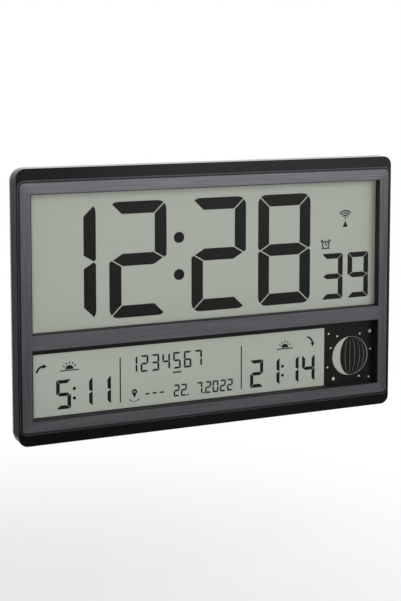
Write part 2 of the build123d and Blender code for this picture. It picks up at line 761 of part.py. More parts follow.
    # Battery box, seat of the door, hinge trough and pin holes, slots for the contact tails
    block(case_depth, box_floor_depth + box_floor, (battery_u, battery_v), box_length, box_height,
          mode=Mode.SUBTRACT)
    block(case_depth, door_front - door_seat_gap, (battery_u, door_seat_v), door_seat_width,
          door_seat_height, mode=Mode.SUBTRACT)
    block(case_depth, trough_front, (battery_u, door_seat_bottom + trough_height / 2), door_seat_width,
          trough_height, mode=Mode.SUBTRACT)
    with BuildSketch(side_on(battery_u - door_width / 2 - door_pin_length - door_clearance)):
        with Locations((door_axis_depth, door_axis_v)):
            Circle(door_pin_radius + door_pin_clearance)
    extrude(amount=door_width + 2 * (door_pin_length + door_clearance), mode=Mode.SUBTRACT)
    for v in (plus_tail_v, minus_tail_v):
        block(board_back + 2 * contact_sheet, board_back - contact_sheet, (box_left - box_wall / 2, v),
              box_wall, tail_width + contact_sheet, mode=Mode.SUBTRACT)
    # Round notches of the aerial's cradles
    with BuildSketch(side_on(-cradle_spacing / 2 - cradle_width)):
        with Locations((aerial_depth, aerial_v)):
            Circle(aerial_radius + cradle_clearance)
    extrude(amount=cradle_spacing + 2 * cradle_width, mode=Mode.SUBTRACT)
rear_cover.part.label = "rear_cover"
export_step(rear_cover.part, "parts/rear_cover.step")

with BuildPart() as case_screws:
    posts(well_seat, well_seat - case_screw_length, case_screw_points, case_screw_radius, inner_sides)
    posts(well_seat + head_height, well_seat, case_screw_points, head_radius, head_sides)
    cross_recesses(well_seat + head_height, case_screw_points)
case_screws.part.label = "case_screws"
export_step(case_screws.part, "parts/case_screws.step")


def build_leg(u):
    """Folded leg: round heel on the hinge, cored out on the side that faces the cover."""
    with BuildPart() as leg:
        with BuildSketch(side_on(u - leg_width / 2)):
            with Locations((leg_hinge_depth, leg_hinge_v)):
                Circle(leg_thickness / 2)
            with Locations((leg_hinge_depth, leg_hinge_v + leg_length / 2)):
                Rectangle(leg_thickness, leg_length)
        extrude(amount=leg_width)
        fillet(leg.edges().filter_by(Axis.Y).group_by(Axis.Z)[-1], radius=leg_thickness / 2)
        core_start = leg_hinge_v + leg_thickness / 2 + leg_core_wall
        core_end = leg_hinge_v + leg_length - leg_core_wall
        core_height = (core_end - core_start - leg_core_wall) / 2
        leg_front = leg_hinge_depth - leg_thickness / 2
        for centre in (core_start + core_height / 2, core_end - core_height / 2):
            block(leg_front + leg_core_depth, leg_front, (u, centre), leg_width - 2 * leg_core_wall,
                  core_height, mode=Mode.SUBTRACT)
        with BuildSketch(side_on(u - leg_width / 2)):
            with Locations((leg_hinge_depth, leg_hinge_v)):
                Circle(leg_pin_radius + leg_pin_clearance)
        extrude(amount=leg_width, mode=Mode.SUBTRACT)
    return leg.part


for name, u in zip(("stand_leg_left", "stand_leg_right"), leg_us):
    leg_part = build_leg(u)
    leg_part.label = name
    export_step(leg_part, f"parts/{name}.step")

with BuildPart() as leg_pins:
    for u in leg_us:
        with BuildSketch(side_on(u - leg_pocket_width / 2 - leg_pocket_wall)):
            with Locations((leg_hinge_depth, leg_hinge_v)):
                Circle(leg_pin_radius)
        extrude(amount=leg_pocket_width + 2 * leg_pocket_wall)
leg_pins.part.label = "leg_pins"
export_step(leg_pins.part, "parts/leg_pins.step")

# Aerial: ferrite rod in the cradles, with its coil wound on the middle
with BuildPart() as antenna_rod:
    with BuildSketch(side_on(-aerial_length / 2)):
        with Locations((aerial_depth, aerial_v)):
            Circle(aerial_radius)
    extrude(amount=aerial_length)
antenna_rod.part.label = "antenna_rod"
export_step(antenna_rod.part, "parts/antenna_rod.step")

with BuildPart() as antenna_coil:
    with BuildSketch(side_on(-coil_length / 2)):
        with Locations((aerial_depth, aerial_v)):
            Circle(coil_radius)
            Circle(aerial_radius, mode=Mode.SUBTRACT)
    extrude(amount=coil_length)
antenna_coil.part.label = "antenna_coil"
export_step(antenna_coil.part, "parts/antenna_coil.step")


def build_ribbon(u, cell_edge, outward, landing_side):
    """Flat lead from the contact ledge of a cell, past its edge, back to the board."""
    ledge_depth = front_glass_back + ribbon_thickness / 2
    board_side = board_depth - ribbon_thickness / 2
    run_v = cell_edge + outward * ribbon_setback
    with BuildPart() as ribbon:
        with BuildSketch(side_on(u - ribbon_width / 2)) as profile:
            with BuildLine():
                FilletPolyline((ledge_depth, cell_edge - outward * (contact_ledge - ribbon_setback)),
                               (ledge_depth, run_v), (board_side, run_v),
                               (board_side, run_v + landing_side * ribbon_landing), radius=ribbon_setback)
            trace(line_width=ribbon_thickness)
        extrude(profile.sketch, amount=ribbon_width)
    return ribbon.part


upper_ribbon = build_ribbon(upper_ribbon_u, upper_cell_bottom, -1, 1)
upper_ribbon.label = "upper_ribbon"
export_step(upper_ribbon, "parts/upper_ribbon.step")
lower_ribbon = build_ribbon(lower_ribbon_u, lower_cell_top, 1, -1)
lower_ribbon.label = "lower_ribbon"
export_step(lower_ribbon, "parts/lower_ribbon.step")
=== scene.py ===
# %% [markdown]
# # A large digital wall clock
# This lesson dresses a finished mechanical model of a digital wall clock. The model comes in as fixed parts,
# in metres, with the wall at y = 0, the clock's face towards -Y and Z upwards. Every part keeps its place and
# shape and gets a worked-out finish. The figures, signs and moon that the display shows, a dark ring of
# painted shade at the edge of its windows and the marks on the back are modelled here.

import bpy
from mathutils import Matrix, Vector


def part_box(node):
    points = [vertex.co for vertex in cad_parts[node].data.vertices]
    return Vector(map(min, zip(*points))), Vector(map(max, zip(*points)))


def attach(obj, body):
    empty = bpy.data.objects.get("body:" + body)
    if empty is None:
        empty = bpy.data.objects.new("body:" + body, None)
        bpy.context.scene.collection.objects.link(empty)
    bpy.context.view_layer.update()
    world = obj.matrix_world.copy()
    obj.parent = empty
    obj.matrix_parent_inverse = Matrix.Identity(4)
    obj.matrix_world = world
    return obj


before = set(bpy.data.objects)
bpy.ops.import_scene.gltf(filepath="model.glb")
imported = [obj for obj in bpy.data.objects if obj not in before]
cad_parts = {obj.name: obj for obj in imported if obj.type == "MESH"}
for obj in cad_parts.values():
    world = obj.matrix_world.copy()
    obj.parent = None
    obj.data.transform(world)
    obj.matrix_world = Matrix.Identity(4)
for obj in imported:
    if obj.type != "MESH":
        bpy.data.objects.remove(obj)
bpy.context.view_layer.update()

# %% Tools of the lesson
import math

import bmesh
import bpy
from mathutils import Matrix, Vector

# %% [markdown]
# ## Two drawing sheets
# The display's figures are flat, so it is easiest to draw them on a sheet in millimetres, with the middle of
# the clock's face as the sheet's zero, and to lay the finished drawing into the clock. One sheet is looked at
# from the front. The other lies on the back and is looked at from behind, so it is turned round the upright
# axis.

# %% Where a sheet lies
MILLIMETRE = 0.001
FACE_TO_WALL = 34.0
KEYHOLES_ABOVE_MIDDLE = 76.75
GLASS_DEPTH = 11.3


def front_sheet(depth):
    """Lays a drawing at a depth behind the frame's face. Its own height points at the viewer."""
    place = Matrix.Translation((0, depth - FACE_TO_WALL, -KEYHOLES_ABOVE_MIDDLE))
    return Matrix.Scale(MILLIMETRE, 4) @ place @ Matrix.Rotation(math.radians(90), 4, "X")


def back_sheet(depth):
    """Lays a drawing on the back, looked at from behind, so its right is the clock's left."""
    return front_sheet(depth) @ Matrix.Rotation(math.radians(180), 4, "Y")


print("face of the display glass, m:", round(front_sheet(GLASS_DEPTH).translation.y, 5))

# %% [markdown]
# ## From a drawing to a piece
# A drawing is a bmesh of flat faces. Ink on glass has nearly no thickness, but a sheet with no thickness at
# all has no back and flickers against the glass, so each drawing is pushed out by a few hundredths of a
# millimetre into closed plates. The piece then rides on the clock's body that carries it.

# %% Make a piece out of a drawing
def finish_piece(drawing, name, finish, sheet, thickness, body="clock"):
    """Gives the drawing its thickness, lays it into the clock and lets it ride on a body."""
    pushed = bmesh.ops.extrude_face_region(drawing, geom=drawing.faces[:])
    raised = [item for item in pushed["geom"] if isinstance(item, bmesh.types.BMVert)]
    bmesh.ops.translate(drawing, vec=(0, 0, thickness), verts=raised)
    bmesh.ops.transform(drawing, matrix=sheet, verts=drawing.verts[:])
    bmesh.ops.recalc_face_normals(drawing, faces=drawing.faces[:])
    mesh = bpy.data.meshes.new(name)
    drawing.to_mesh(mesh)
    drawing.free()
    mesh.materials.append(finish)
    piece = bpy.data.objects.new(name, mesh)
    bpy.context.scene.collection.objects.link(piece)
    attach(piece, body)
    print(name, "faces:", len(mesh.polygons))


# %% [markdown]
# ## Helpers for finishes
# Every finish starts from Blender's Principled shader. What makes it look real is a small change over the
# surface: a grain in the colour, a cloud in the roughness and a faint relief. The patterns read Object
# coordinates, which are metres here because every part sits at the origin, so a scale of 1000 is a
# millimetre grain.

# %% Start a finish
def new_finish(name, roughness=0.5, metallic=0.0):
    """A new material with its node tree and its Principled shader."""
    finish = bpy.data.materials.new(name)
    finish.use_nodes = True
    shader = finish.node_tree.nodes["Principled BSDF"]
    shader.inputs["Roughness"].default_value = roughness
    shader.inputs["Metallic"].default_value = metallic
    print("finish:", name)
    return finish, finish.node_tree, shader


def srgb(red, green, blue):
    """A colour as read off a screen, 0 to 255, turned into the linear light that shaders count in."""
    linear = [c / 255 / 12.92 if c <= 10 else ((c / 255 + 0.055) / 1.055) ** 2.4 for c in (red, green, blue)]
    return (*linear, 1.0)


# %% A pattern on a surface
def surface_point(tree, stretch=(1, 1, 1)):
    """Object coordinates, stretched along each axis where a grain has a direction."""
    place = tree.nodes.new("ShaderNodeTexCoord")
    mapping = tree.nodes.new("ShaderNodeMapping")
    mapping.inputs["Scale"].default_value = stretch
    tree.links.new(place.outputs["Object"], mapping.inputs["Vector"])
    return mapping.outputs["Vector"]


def axes_of_point(tree):
    """The X, Y and Z of a point of the surface, each as a pattern of its own."""
    axes = tree.nodes.new("ShaderNodeSeparateXYZ")
    tree.links.new(surface_point(tree), axes.inputs["Vector"])
    return axes.outputs


def cloud(tree, scale, detail=3.0, stretch=(1, 1, 1)):
    """A soft random pattern between 0 and 1."""
    noise = tree.nodes.new("ShaderNodeTexNoise")
    noise.inputs["Scale"].default_value = scale
    noise.inputs["Detail"].default_value = detail
    tree.links.new(surface_point(tree, stretch), noise.inputs["Vector"])
    return noise.outputs["Fac"]


def remap(tree, pattern, start, end, low=0.0, high=1.0, change="LINEAR"):
    """A pattern moved to another range: start becomes low, end becomes high, and it stops at both."""
    spread = tree.nodes.new("ShaderNodeMapRange")
    spread.interpolation_type = change
    for socket, value in (("From Min", start), ("From Max", end), ("To Min", low), ("To Max", high)):
        spread.inputs[socket].default_value = value
    tree.links.new(pattern, spread.inputs["Value"])
    return spread.outputs["Result"]


# %% What a pattern drives
def tint(tree, shader, pattern, low, high, start=0.3, end=0.7):
    """The base colour runs from low to high as the pattern runs from start to end."""
    ramp = tree.nodes.new("ShaderNodeValToRGB")
    ramp.color_ramp.elements[0].position = start
    ramp.color_ramp.elements[0].color = low
    ramp.color_ramp.elements[1].position = end
    ramp.color_ramp.elements[1].color = high
    tree.links.new(pattern, ramp.inputs["Fac"])
    tree.links.new(ramp.outputs["Color"], shader.inputs["Base Color"])
    return ramp.outputs["Color"]


def polish(tree, shader, pattern, smooth, rough):
    """The roughness runs from smooth to rough with the pattern."""
    tree.links.new(remap(tree, pattern, 0, 1, smooth, rough), shader.inputs["Roughness"])


def relief(tree, shader, pattern, strength, depth):
    """The pattern stands out of the surface by a depth in metres."""
    bump = tree.nodes.new("ShaderNodeBump")
    bump.inputs["Strength"].default_value = strength
    bump.inputs["Distance"].default_value = depth
    tree.links.new(pattern, bump.inputs["Height"])
    tree.links.new(bump.outputs["Normal"], shader.inputs["Normal"])


# %% [markdown]
# ## The case: piano black
# The front case is moulded from black plastic in a polished tool. Its colour is nearly nothing; what the eye
# sees is the room in it. A very low base colour, a low roughness with faint clouds where cloths have wiped
# it, and a relief as slight as the ripple of the moulding give it that depth.

# %% Finish of the case
piano_black, tree, shader = new_finish("piano_black")
tint(tree, shader, cloud(tree, 60), srgb(6, 6, 7), srgb(10, 10, 11))
polish(tree, shader, cloud(tree, 25, 5), 0.06, 0.14)
relief(tree, shader, cloud(tree, 180, 2), 0.08, 0.0001)
shader.inputs["IOR"].default_value = 1.5

# %% [markdown]
# ## Arithmetic on a surface
# Some finishes depend on where a point lies: on an upright bar or a level one, on the face or in the groove.
# Math and Mix nodes answer such questions inside the material, so the parts need no cuts and no second
# material. A plain number or colour may stand wherever a pattern can.

# %% Numbers and mixes
MIX_SOCKETS = {"FLOAT": (2, 3, 0), "RGBA": (6, 7, 2)}


def feed(tree, socket, value):
    """Sets a socket to a plain number or colour, or links a pattern to it."""
    if isinstance(value, (int, float, tuple)):
        socket.default_value = value
    else:
        tree.links.new(value, socket)


def number(tree, operation, first, second=0.0):
    """One step of arithmetic; a step on a single number takes no notice of the second."""
    step = tree.nodes.new("ShaderNodeMath")
    step.operation = operation
    feed(tree, step.inputs[0], first)
    feed(tree, step.inputs[1], second)
    return step.outputs["Value"]


def mix(tree, share, first, second, kind="RGBA"):
    """The first colour or number where the share is 0 and the second where it is 1."""
    blend = tree.nodes.new("ShaderNodeMix")
    blend.data_type = kind
    first_place, second_place, result = MIX_SOCKETS[kind]
    feed(tree, blend.inputs[0], share)
    feed(tree, blend.inputs[first_place], first)
    feed(tree, blend.inputs[second_place], second)
    return blend.outputs[result]


# %% [markdown]
# ## The frame: brushed gunmetal
# The frame round the two windows has the look of dark brushed metal. Its bars are brushed along their length
# and meet in mitres, so the streaks turn at the corners. On the upright bars the brushing sends a little less
# light forward than on the level ones, and that weaker sheen is painted shade: a darker base colour. The
# finish therefore asks of every point whether it lies beside the windows, and nearer to a side edge of the
# frame than to its top or bottom edge. Two streak patterns are mixed by that answer.

# %% Which bar is a point on
frame_low, frame_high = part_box("bezel_frame")
FRAME_HALF = ((frame_high.x - frame_low.x) / 2, (frame_high.z - frame_low.z) / 2)
WINDOW_HALF = 0.1827
UPRIGHT_WIDTH = FRAME_HALF[0] - WINDOW_HALF
MITRE_BLEND = 0.006


def inside_frame(tree):
    """How far a point lies inside the frame's side edges, and inside its top and bottom edges, in metres."""
    axes = axes_of_point(tree)
    above_middle = number(tree, "ADD", axes["Z"], KEYHOLES_ABOVE_MIDDLE * MILLIMETRE)
    return [
        number(tree, "SUBTRACT", half, number(tree, "ABSOLUTE", offset))
        for half, offset in zip(FRAME_HALF, (axes["X"], above_middle))
    ]


def upright_bar(tree):
    """1 on the two upright bars of the frame and 0 on the level ones, with a soft change at the mitres."""
    from_side, from_end = inside_frame(tree)
    mitre = number(tree, "MINIMUM", from_end, UPRIGHT_WIDTH)
    outward = number(tree, "SUBTRACT", mitre, from_side)
    return remap(tree, outward, -MITRE_BLEND, MITRE_BLEND, change="SMOOTHSTEP")


print("half of the frame, m:", [round(side, 4) for side in FRAME_HALF], "bar:", round(UPRIGHT_WIDTH, 4))

# %% Streaks that follow the bars
STREAK = 0.02
UPRIGHT_PAINTED_SHADE = 0.38
brushed_gunmetal, tree, shader = new_finish("brushed_gunmetal", metallic=0.88)
bar = upright_bar(tree)
level_streaks = cloud(tree, 900, 3, (STREAK, 1, 1))
upright_streaks = cloud(tree, 900, 3, (1, 1, STREAK))
streaks = mix(tree, bar, level_streaks, upright_streaks, "FLOAT")
# Painted shade: the upright bars' base colour is lowered by a fixed share, standing in for their weaker
# sheen.
shade = number(tree, "SUBTRACT", streaks, number(tree, "MULTIPLY", bar, UPRIGHT_PAINTED_SHADE))
face = tint(tree, shader, shade, srgb(98, 95, 101), srgb(131, 130, 134), 0.0, 0.9)
polish(tree, shader, streaks, 0.27, 0.35)
relief(tree, shader, streaks, 0.03, 0.00002)

# %% [markdown]
# The low rim of the frame, the groove between rim and face and the edges of the windows lie behind the
# raised face, and the deeper they lie, the less light finds its way out. That shade is painted into the base
# colour: a ramp on the depth behind the face, which is the distance along Y, darkens them in two steps.

# %% Painted shade in rim and groove
FACE_Y = frame_low.y
GROOVE_DROP = 0.002
RECESS_PAINTED_SHADE = ((0.0, 0.0), (0.12, 0.0), (0.22, 0.62), (0.3, 0.62), (0.5, 0.9), (1.0, 0.95))


def grey_ramp(tree, pattern, steps, blue=1.0):
    """Greys along a pattern; each step is a place from 0 to 1 and its grey, and blue tints the inner ones."""
    ramp = tree.nodes.new("ShaderNodeValToRGB")
    stops = ramp.color_ramp.elements
    stops[0].color = (*[steps[0][1]] * 3, 1)
    stops[1].color = (*[steps[-1][1]] * 3, 1)
    for place, grey in steps[1:-1]:
        stops.new(place).color = (grey, grey, grey * blue, 1)
    tree.links.new(pattern, ramp.inputs["Fac"])
    return ramp.outputs["Color"]


# Painted shade: the deeper a point lies behind the face, the more its base colour turns to a dark grey.
sunk = remap(tree, axes_of_point(tree)["Y"], FACE_Y, FACE_Y + GROOVE_DROP)
face_with_painted_shade = mix(tree, grey_ramp(tree, sunk, RECESS_PAINTED_SHADE), face, srgb(38, 37, 41))
tree.links.new(face_with_painted_shade, shader.inputs["Base Color"])
print("face of the frame at y, m:", round(FACE_Y, 4))

# %% [markdown]
# Two short tubes of the case lead from the windows back to the display. Polished, they would mirror the
# figures, so the tool is spark-eroded there and the walls come out matte. Everything of the case that lies
# inside the frame's outline belongs to the tubes or is hidden, so that outline is the border between the two
# roughnesses.

# %% Matte walls inside the windows
TUBE_ROUGHNESS = 0.6
OUTLINE_MARGIN = 0.003
tree = piano_black.node_tree
shader = tree.nodes["Principled BSDF"]
from_side, from_end = inside_frame(tree)
in_width = number(tree, "GREATER_THAN", from_side, OUTLINE_MARGIN)
in_height = number(tree, "GREATER_THAN", from_end, OUTLINE_MARGIN)
in_tube = number(tree, "MULTIPLY", in_width, in_height)
polished = shader.inputs["Roughness"].links[0].from_socket
tree.links.new(mix(tree, in_tube, polished, TUBE_ROUGHNESS, "FLOAT"), shader.inputs["Roughness"])
print("tubes lie within, m:", [round(half - OUTLINE_MARGIN, 4) for half in FRAME_HALF])

# %% [markdown]
# ## The panes
# A pane 1.5 mm thick hardly bends the light, so it needs no refraction: it lets everything pass straight on
# and adds a weak mirror, which grows towards a flat angle as it does on real glass. Only the outer side of
# each face mirrors, and a little haze keeps the edges of the mirror images soft.

# %% Finish of the panes
def mix_shaders(tree, share, first, second):
    """The first shader where the share is 0 and the second where it is 1."""
    blend = tree.nodes.new("ShaderNodeMixShader")
    for socket, value in enumerate((share, first, second)):
        tree.links.new(value, blend.inputs[socket])
    return blend.outputs["Shader"]


clear_plate = bpy.data.materials.new("clear_plate")
clear_plate.use_nodes = True
tree = clear_plate.node_tree
tree.nodes.remove(tree.nodes["Principled BSDF"])
through = tree.nodes.new("ShaderNodeBsdfTransparent")
through.inputs["Color"].default_value = (0.99, 0.988, 0.985, 1)
mirror = tree.nodes.new("ShaderNodeBsdfAnisotropic")
mirror.inputs["Roughness"].default_value = 0.04
relief(tree, mirror, cloud(tree, 120, 2), 0.02, 0.00005)
edge_rise = tree.nodes.new("ShaderNodeFresnel")
edge_rise.inputs["IOR"].default_value = 1.31
outside = tree.nodes.new("ShaderNodeNewGeometry")
from_outside = number(tree, "SUBTRACT", 1.0, outside.outputs["Backfacing"])
share_mirrored = number(tree, "MULTIPLY", edge_rise.outputs["Fac"], from_outside)
pane = mix_shaders(tree, share_mirrored, through.outputs["BSDF"], mirror.outputs["BSDF"])
tree.links.new(pane, tree.nodes["Material Output"].inputs["Surface"])
print("finish:", clear_plate.name)

# %% [markdown]
# ## The display
# Behind a liquid crystal cell lies a grey-green reflector with a fine grain that keeps it from shining like a
# mirror. The grain is the display's own look at close range, so it goes into the colour and the relief. The
# dark film round the lower display is printed ink: satin, with a dust-fine unevenness.

# %% Finish of the display glass and of the film
display_grey, tree, shader = new_finish("display_grey", roughness=0.5)
tint(tree, shader, cloud(tree, 2600, 4), srgb(163, 169, 159), srgb(173, 179, 169))
relief(tree, shader, cloud(tree, 2600, 4), 0.06, 0.00003)
shader.inputs["Specular IOR Level"].default_value = 0.25

printed_black, tree, shader = new_finish("printed_black")
tint(tree, shader, cloud(tree, 3000, 2), srgb(13, 13, 12), srgb(20, 20, 19))
polish(tree, shader, cloud(tree, 400), 0.5, 0.62)
relief(tree, shader, cloud(tree, 5000, 1), 0.05, 0.00001)
shader.inputs["Specular IOR Level"].default_value = 0.12

# %% [markdown]
# ## Liquid crystal and print
# A segment that is on turns the light off between two polarisers, so it is a soft near-black with a trace of
# green. The stars beside the moon are printed in pale grey on the film.

# %% Finish of the segments and of the print
liquid_crystal, tree, shader = new_finish("liquid_crystal")
tint(tree, shader, cloud(tree, 2600, 4), srgb(17, 18, 16), srgb(23, 24, 22))
polish(tree, shader, cloud(tree, 700), 0.5, 0.6)
shader.inputs["Specular IOR Level"].default_value = 0.1

pale_print, tree, shader = new_finish("pale_print")
tint(tree, shader, cloud(tree, 4000, 2), srgb(196, 198, 195), srgb(222, 224, 220))
polish(tree, shader, cloud(tree, 900), 0.5, 0.65)

# %% [markdown]
# ## Plastics of the back
# The rear cover, its flap and its legs come from a tool with a spark-eroded texture: a fine even roughness
# like leather paper that hides scratches. The keys and the frame that holds the display are plainer
# mouldings. The same three drivers do it, only at another scale and strength.

# %% Finishes of the mouldings
grained_black, tree, shader = new_finish("grained_black")
tint(tree, shader, cloud(tree, 900, 6), srgb(27, 27, 29), srgb(36, 36, 38))
polish(tree, shader, cloud(tree, 1400, 3), 0.5, 0.68)
relief(tree, shader, cloud(tree, 1500, 5), 0.5, 0.00012)

key_grey, tree, shader = new_finish("key_grey")
tint(tree, shader, cloud(tree, 700, 3), srgb(52, 53, 56), srgb(60, 61, 64))
polish(tree, shader, cloud(tree, 1200, 3), 0.38, 0.5)
relief(tree, shader, cloud(tree, 2200, 3), 0.25, 0.00005)

inner_plastic, tree, shader = new_finish("inner_plastic")
tint(tree, shader, cloud(tree, 150, 4), srgb(44, 45, 48), srgb(54, 55, 58))
polish(tree, shader, cloud(tree, 300, 3), 0.4, 0.55)
relief(tree, shader, cloud(tree, 900, 3), 0.2, 0.00006)

# %% [markdown]
# ## Metals
# Zinc-plated screws, nickel-plated contacts and the crystal's can are all bright metals. They differ in how
# the plating breaks the light: the screws carry turning marks and a slight yellow, the contacts are stamped
# from rolled strip whose grain runs along it, and the can is drawn and smooth.

# %% Finishes of the metals
zinc_plate, tree, shader = new_finish("zinc_plate", metallic=1.0)
tint(tree, shader, cloud(tree, 1500, 3), srgb(158, 158, 154), srgb(186, 185, 178))
polish(tree, shader, cloud(tree, 2500, 2), 0.25, 0.42)
relief(tree, shader, cloud(tree, 4000, 2), 0.2, 0.00003)

nickel_strip, tree, shader = new_finish("nickel_strip", metallic=1.0)
tint(tree, shader, cloud(tree, 900, 3, (1, 1, 0.1)), srgb(186, 186, 184), srgb(208, 207, 204))
polish(tree, shader, cloud(tree, 2000, 2, (1, 1, 0.08)), 0.18, 0.34)
relief(tree, shader, cloud(tree, 2500, 2, (1, 1, 0.05)), 0.15, 0.00002)

drawn_can, tree, shader = new_finish("drawn_can", metallic=1.0)
tint(tree, shader, cloud(tree, 500, 3), srgb(196, 196, 194), srgb(214, 213, 210))
polish(tree, shader, cloud(tree, 900, 3), 0.16, 0.28)

# %% [markdown]
# ## Copper, ferrite and film
# The receiver's rod is pressed from ferrite powder, dull and dark, and the coil on it is enamelled copper
# wire. Its turns lie side by side along the rod, so a band pattern across X stands for them. The ribbons
# carry fine printed tracks along their length on a pale film.

# %% A banded pattern
def bands(tree, scale, direction, distortion=0.0):
    """Stripes across one axis; about three pass in each unit of scale."""
    wave = tree.nodes.new("ShaderNodeTexWave")
    wave.wave_type = "BANDS"
    wave.bands_direction = direction
    wave.inputs["Scale"].default_value = scale
    wave.inputs["Distortion"].default_value = distortion
    tree.links.new(surface_point(tree), wave.inputs["Vector"])
    return wave.outputs["Fac"]


# %% Finishes of the receiver and the ribbons
enamelled_copper, tree, shader = new_finish("enamelled_copper", metallic=0.85)
tint(tree, shader, bands(tree, 900, "X", 0.4), srgb(118, 56, 26), srgb(196, 112, 62), 0.1, 0.8)
polish(tree, shader, cloud(tree, 1200), 0.22, 0.36)
relief(tree, shader, bands(tree, 900, "X", 0.4), 0.6, 0.0001)

pressed_ferrite, tree, shader = new_finish("pressed_ferrite")
tint(tree, shader, cloud(tree, 1800, 4), srgb(43, 43, 46), srgb(62, 61, 63))
polish(tree, shader, cloud(tree, 700, 3), 0.5, 0.7)
relief(tree, shader, cloud(tree, 2500, 4), 0.3, 0.00006)

lead_film, tree, shader = new_finish("lead_film")
tint(tree, shader, bands(tree, 260, "X"), srgb(182, 178, 168), srgb(206, 203, 194), 0.35, 0.6)
polish(tree, shader, bands(tree, 260, "X"), 0.35, 0.5)

# %% [markdown]
# ## The circuit board and what sits on it
# Solder mask is a green varnish over copper tracks, and the tracks show through it as lighter lines with a
# slight step. Two distorted band patterns at right angles look like tracks and gaps. The chip is covered by a
# drop of black resin.

# %% Finishes of the board and of the chip
solder_mask, tree, shader = new_finish("solder_mask", roughness=0.32)
tracks = number(tree, "MULTIPLY", bands(tree, 120, "X", 6.0), bands(tree, 150, "Z", 5.0))
tint(tree, shader, tracks, srgb(16, 62, 38), srgb(42, 104, 62), 0.35, 0.5)
relief(tree, shader, tracks, 0.3, 0.00008)

resin_drop, tree, shader = new_finish("resin_drop")
tint(tree, shader, cloud(tree, 400, 4), srgb(14, 14, 15), srgb(24, 24, 25))
polish(tree, shader, cloud(tree, 250, 3), 0.18, 0.35)
relief(tree, shader, cloud(tree, 350, 2), 0.3, 0.0002)

# %% [markdown]
# ## The two cells
# A cell wears a printed sleeve with a copper-coloured collar at its plus end, and the bare steel shows at
# both ends. The two cells lie side by side and point opposite ways, so one function makes the finish for
# either: it counts how far a point lies from the middle of the cell towards its plus end.

# %% Finish of a cell
CELL_COLLAR_START = 0.0115
CELL_SLEEVE_END = 0.0234


def cell_finish(name, node, plus_side):
    """Sleeve, collar and steel ends of one cell; plus_side is 1 where its plus end is at the higher X."""
    finish, tree, shader = new_finish(name, metallic=0.6)
    low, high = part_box(node)
    from_middle = number(tree, "SUBTRACT", axes_of_point(tree)["X"], (low.x + high.x) / 2)
    towards_plus = number(tree, "MULTIPLY", from_middle, plus_side)
    collar = number(tree, "GREATER_THAN", towards_plus, CELL_COLLAR_START)
    ends = number(tree, "GREATER_THAN", number(tree, "ABSOLUTE", from_middle), CELL_SLEEVE_END)
    sleeve = tint(tree, shader, cloud(tree, 90, 3, (0.3, 1, 1)), srgb(34, 40, 50), srgb(44, 52, 64))
    banded = mix(tree, collar, sleeve, srgb(186, 118, 70))
    tree.links.new(mix(tree, ends, banded, srgb(190, 190, 188)), shader.inputs["Base Color"])
    polish(tree, shader, cloud(tree, 600, 3), 0.22, 0.34)
    relief(tree, shader, cloud(tree, 300, 2), 0.05, 0.00005)
    return finish


upper_sleeve = cell_finish("upper_cell_sleeve", "battery_upper", -1)
lower_sleeve = cell_finish("lower_cell_sleeve", "battery_lower", 1)

# %% [markdown]
# ## Dress the parts
# The parts came in with plain colours whose names tell what they are made of. A part keeps its mesh and its
# place, and only the material in each of its slots is exchanged. The lower cell points the other way, so it
# gets a sleeve of its own.

# %% Exchange the plain colours
finish_of_slot = {
    "case_gloss": piano_black, "frame_gunmetal": brushed_gunmetal, "clear_pane": clear_plate,
    "display_glass": display_grey, "black_film": printed_black, "cover_matte": grained_black,
    "key_plastic": key_grey, "holder_plastic": inner_plastic, "screw_steel": zinc_plate,
    "contact_steel": nickel_strip, "crystal_can": drawn_can, "coil_wire": enamelled_copper,
    "ferrite": pressed_ferrite, "ribbon_film": lead_film, "board_laminate": solder_mask,
    "chip_resin": resin_drop, "battery_can": upper_sleeve,
}
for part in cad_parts.values():
    for slot in part.material_slots:
        slot.material = finish_of_slot[slot.material.name]
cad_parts["battery_lower"].material_slots[0].material = lower_sleeve
for name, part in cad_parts.items():
    print(name, "wears", part.material_slots[0].material.name)

# %% [markdown]
# ## One segment of a figure
# A display of this kind builds each figure from seven bars. They all come out of one rounded plate, so the
# simplest way to get their slanted ends is the display maker's own: take the plate of the whole figure and
# cut it along straight lines. `bisect_plane` is that cut, and it throws away what lies on the far side of the
# line.

# %% Plates and cuts
def plate(left, low, width, height, corner=0.0):
    """A flat rectangle, its four corners rounded where a radius is given."""
    drawing = bmesh.new()
    bmesh.ops.create_grid(drawing, x_segments=1, y_segments=1, size=0.5)
    bmesh.ops.scale(drawing, vec=(width, height, 1), verts=drawing.verts[:])
    bmesh.ops.translate(drawing, vec=(left + width / 2, low + height / 2, 0), verts=drawing.verts[:])
    if corner:
        bmesh.ops.bevel(
            drawing, geom=drawing.verts[:], offset=corner, affect="VERTICES", segments=5, profile=0.5,
            material=-1
        )
    return drawing


def cut(drawing, point, away):
    """Cuts along a line through a point and drops the side that the arrow `away` points to."""
    everything = drawing.verts[:] + drawing.edges[:] + drawing.faces[:]
    bmesh.ops.bisect_plane(
        drawing, geom=everything, plane_co=(*point, 0), plane_no=(*away, 0), clear_outer=True, dist=0.001
    )


def add(drawing, more, place=(0, 0), turn=0.0):
    """Turns a second drawing about its own zero, moves it to a place and puts it into the first."""
    laid = Matrix.Translation((*place, 0)) @ Matrix.Rotation(turn, 4, "Z")
    bmesh.ops.transform(more, matrix=laid, verts=more.verts[:])
    carrier = bpy.data.meshes.new("carrier")
    more.to_mesh(carrier)
    more.free()
    drawing.from_mesh(carrier)
    bpy.data.meshes.remove(carrier)


# %% [markdown]
# ## Seven segments
# The bars are named a to g as display makers do: a on top, b and c down the right, d at the bottom, e and f
# up the left, g in the middle. The corner cuts run at 45 degrees. Where the middle bar meets the uprights the
# cuts are flatter, which gives the middle bar its long points.

# %% Cut one bar out of a figure's plate
FIGURES = {
    "0": "abcdef", "1": "bc", "2": "abged", "3": "abgcd", "4": "fgbc", "5": "afgcd", "6": "acdefg",
    "7": "abc", "8": "abcdefg", "9": "abcdfg", "-": "g",
}
POINT_REACH = 0.3
POINT_SLOPE = 0.61


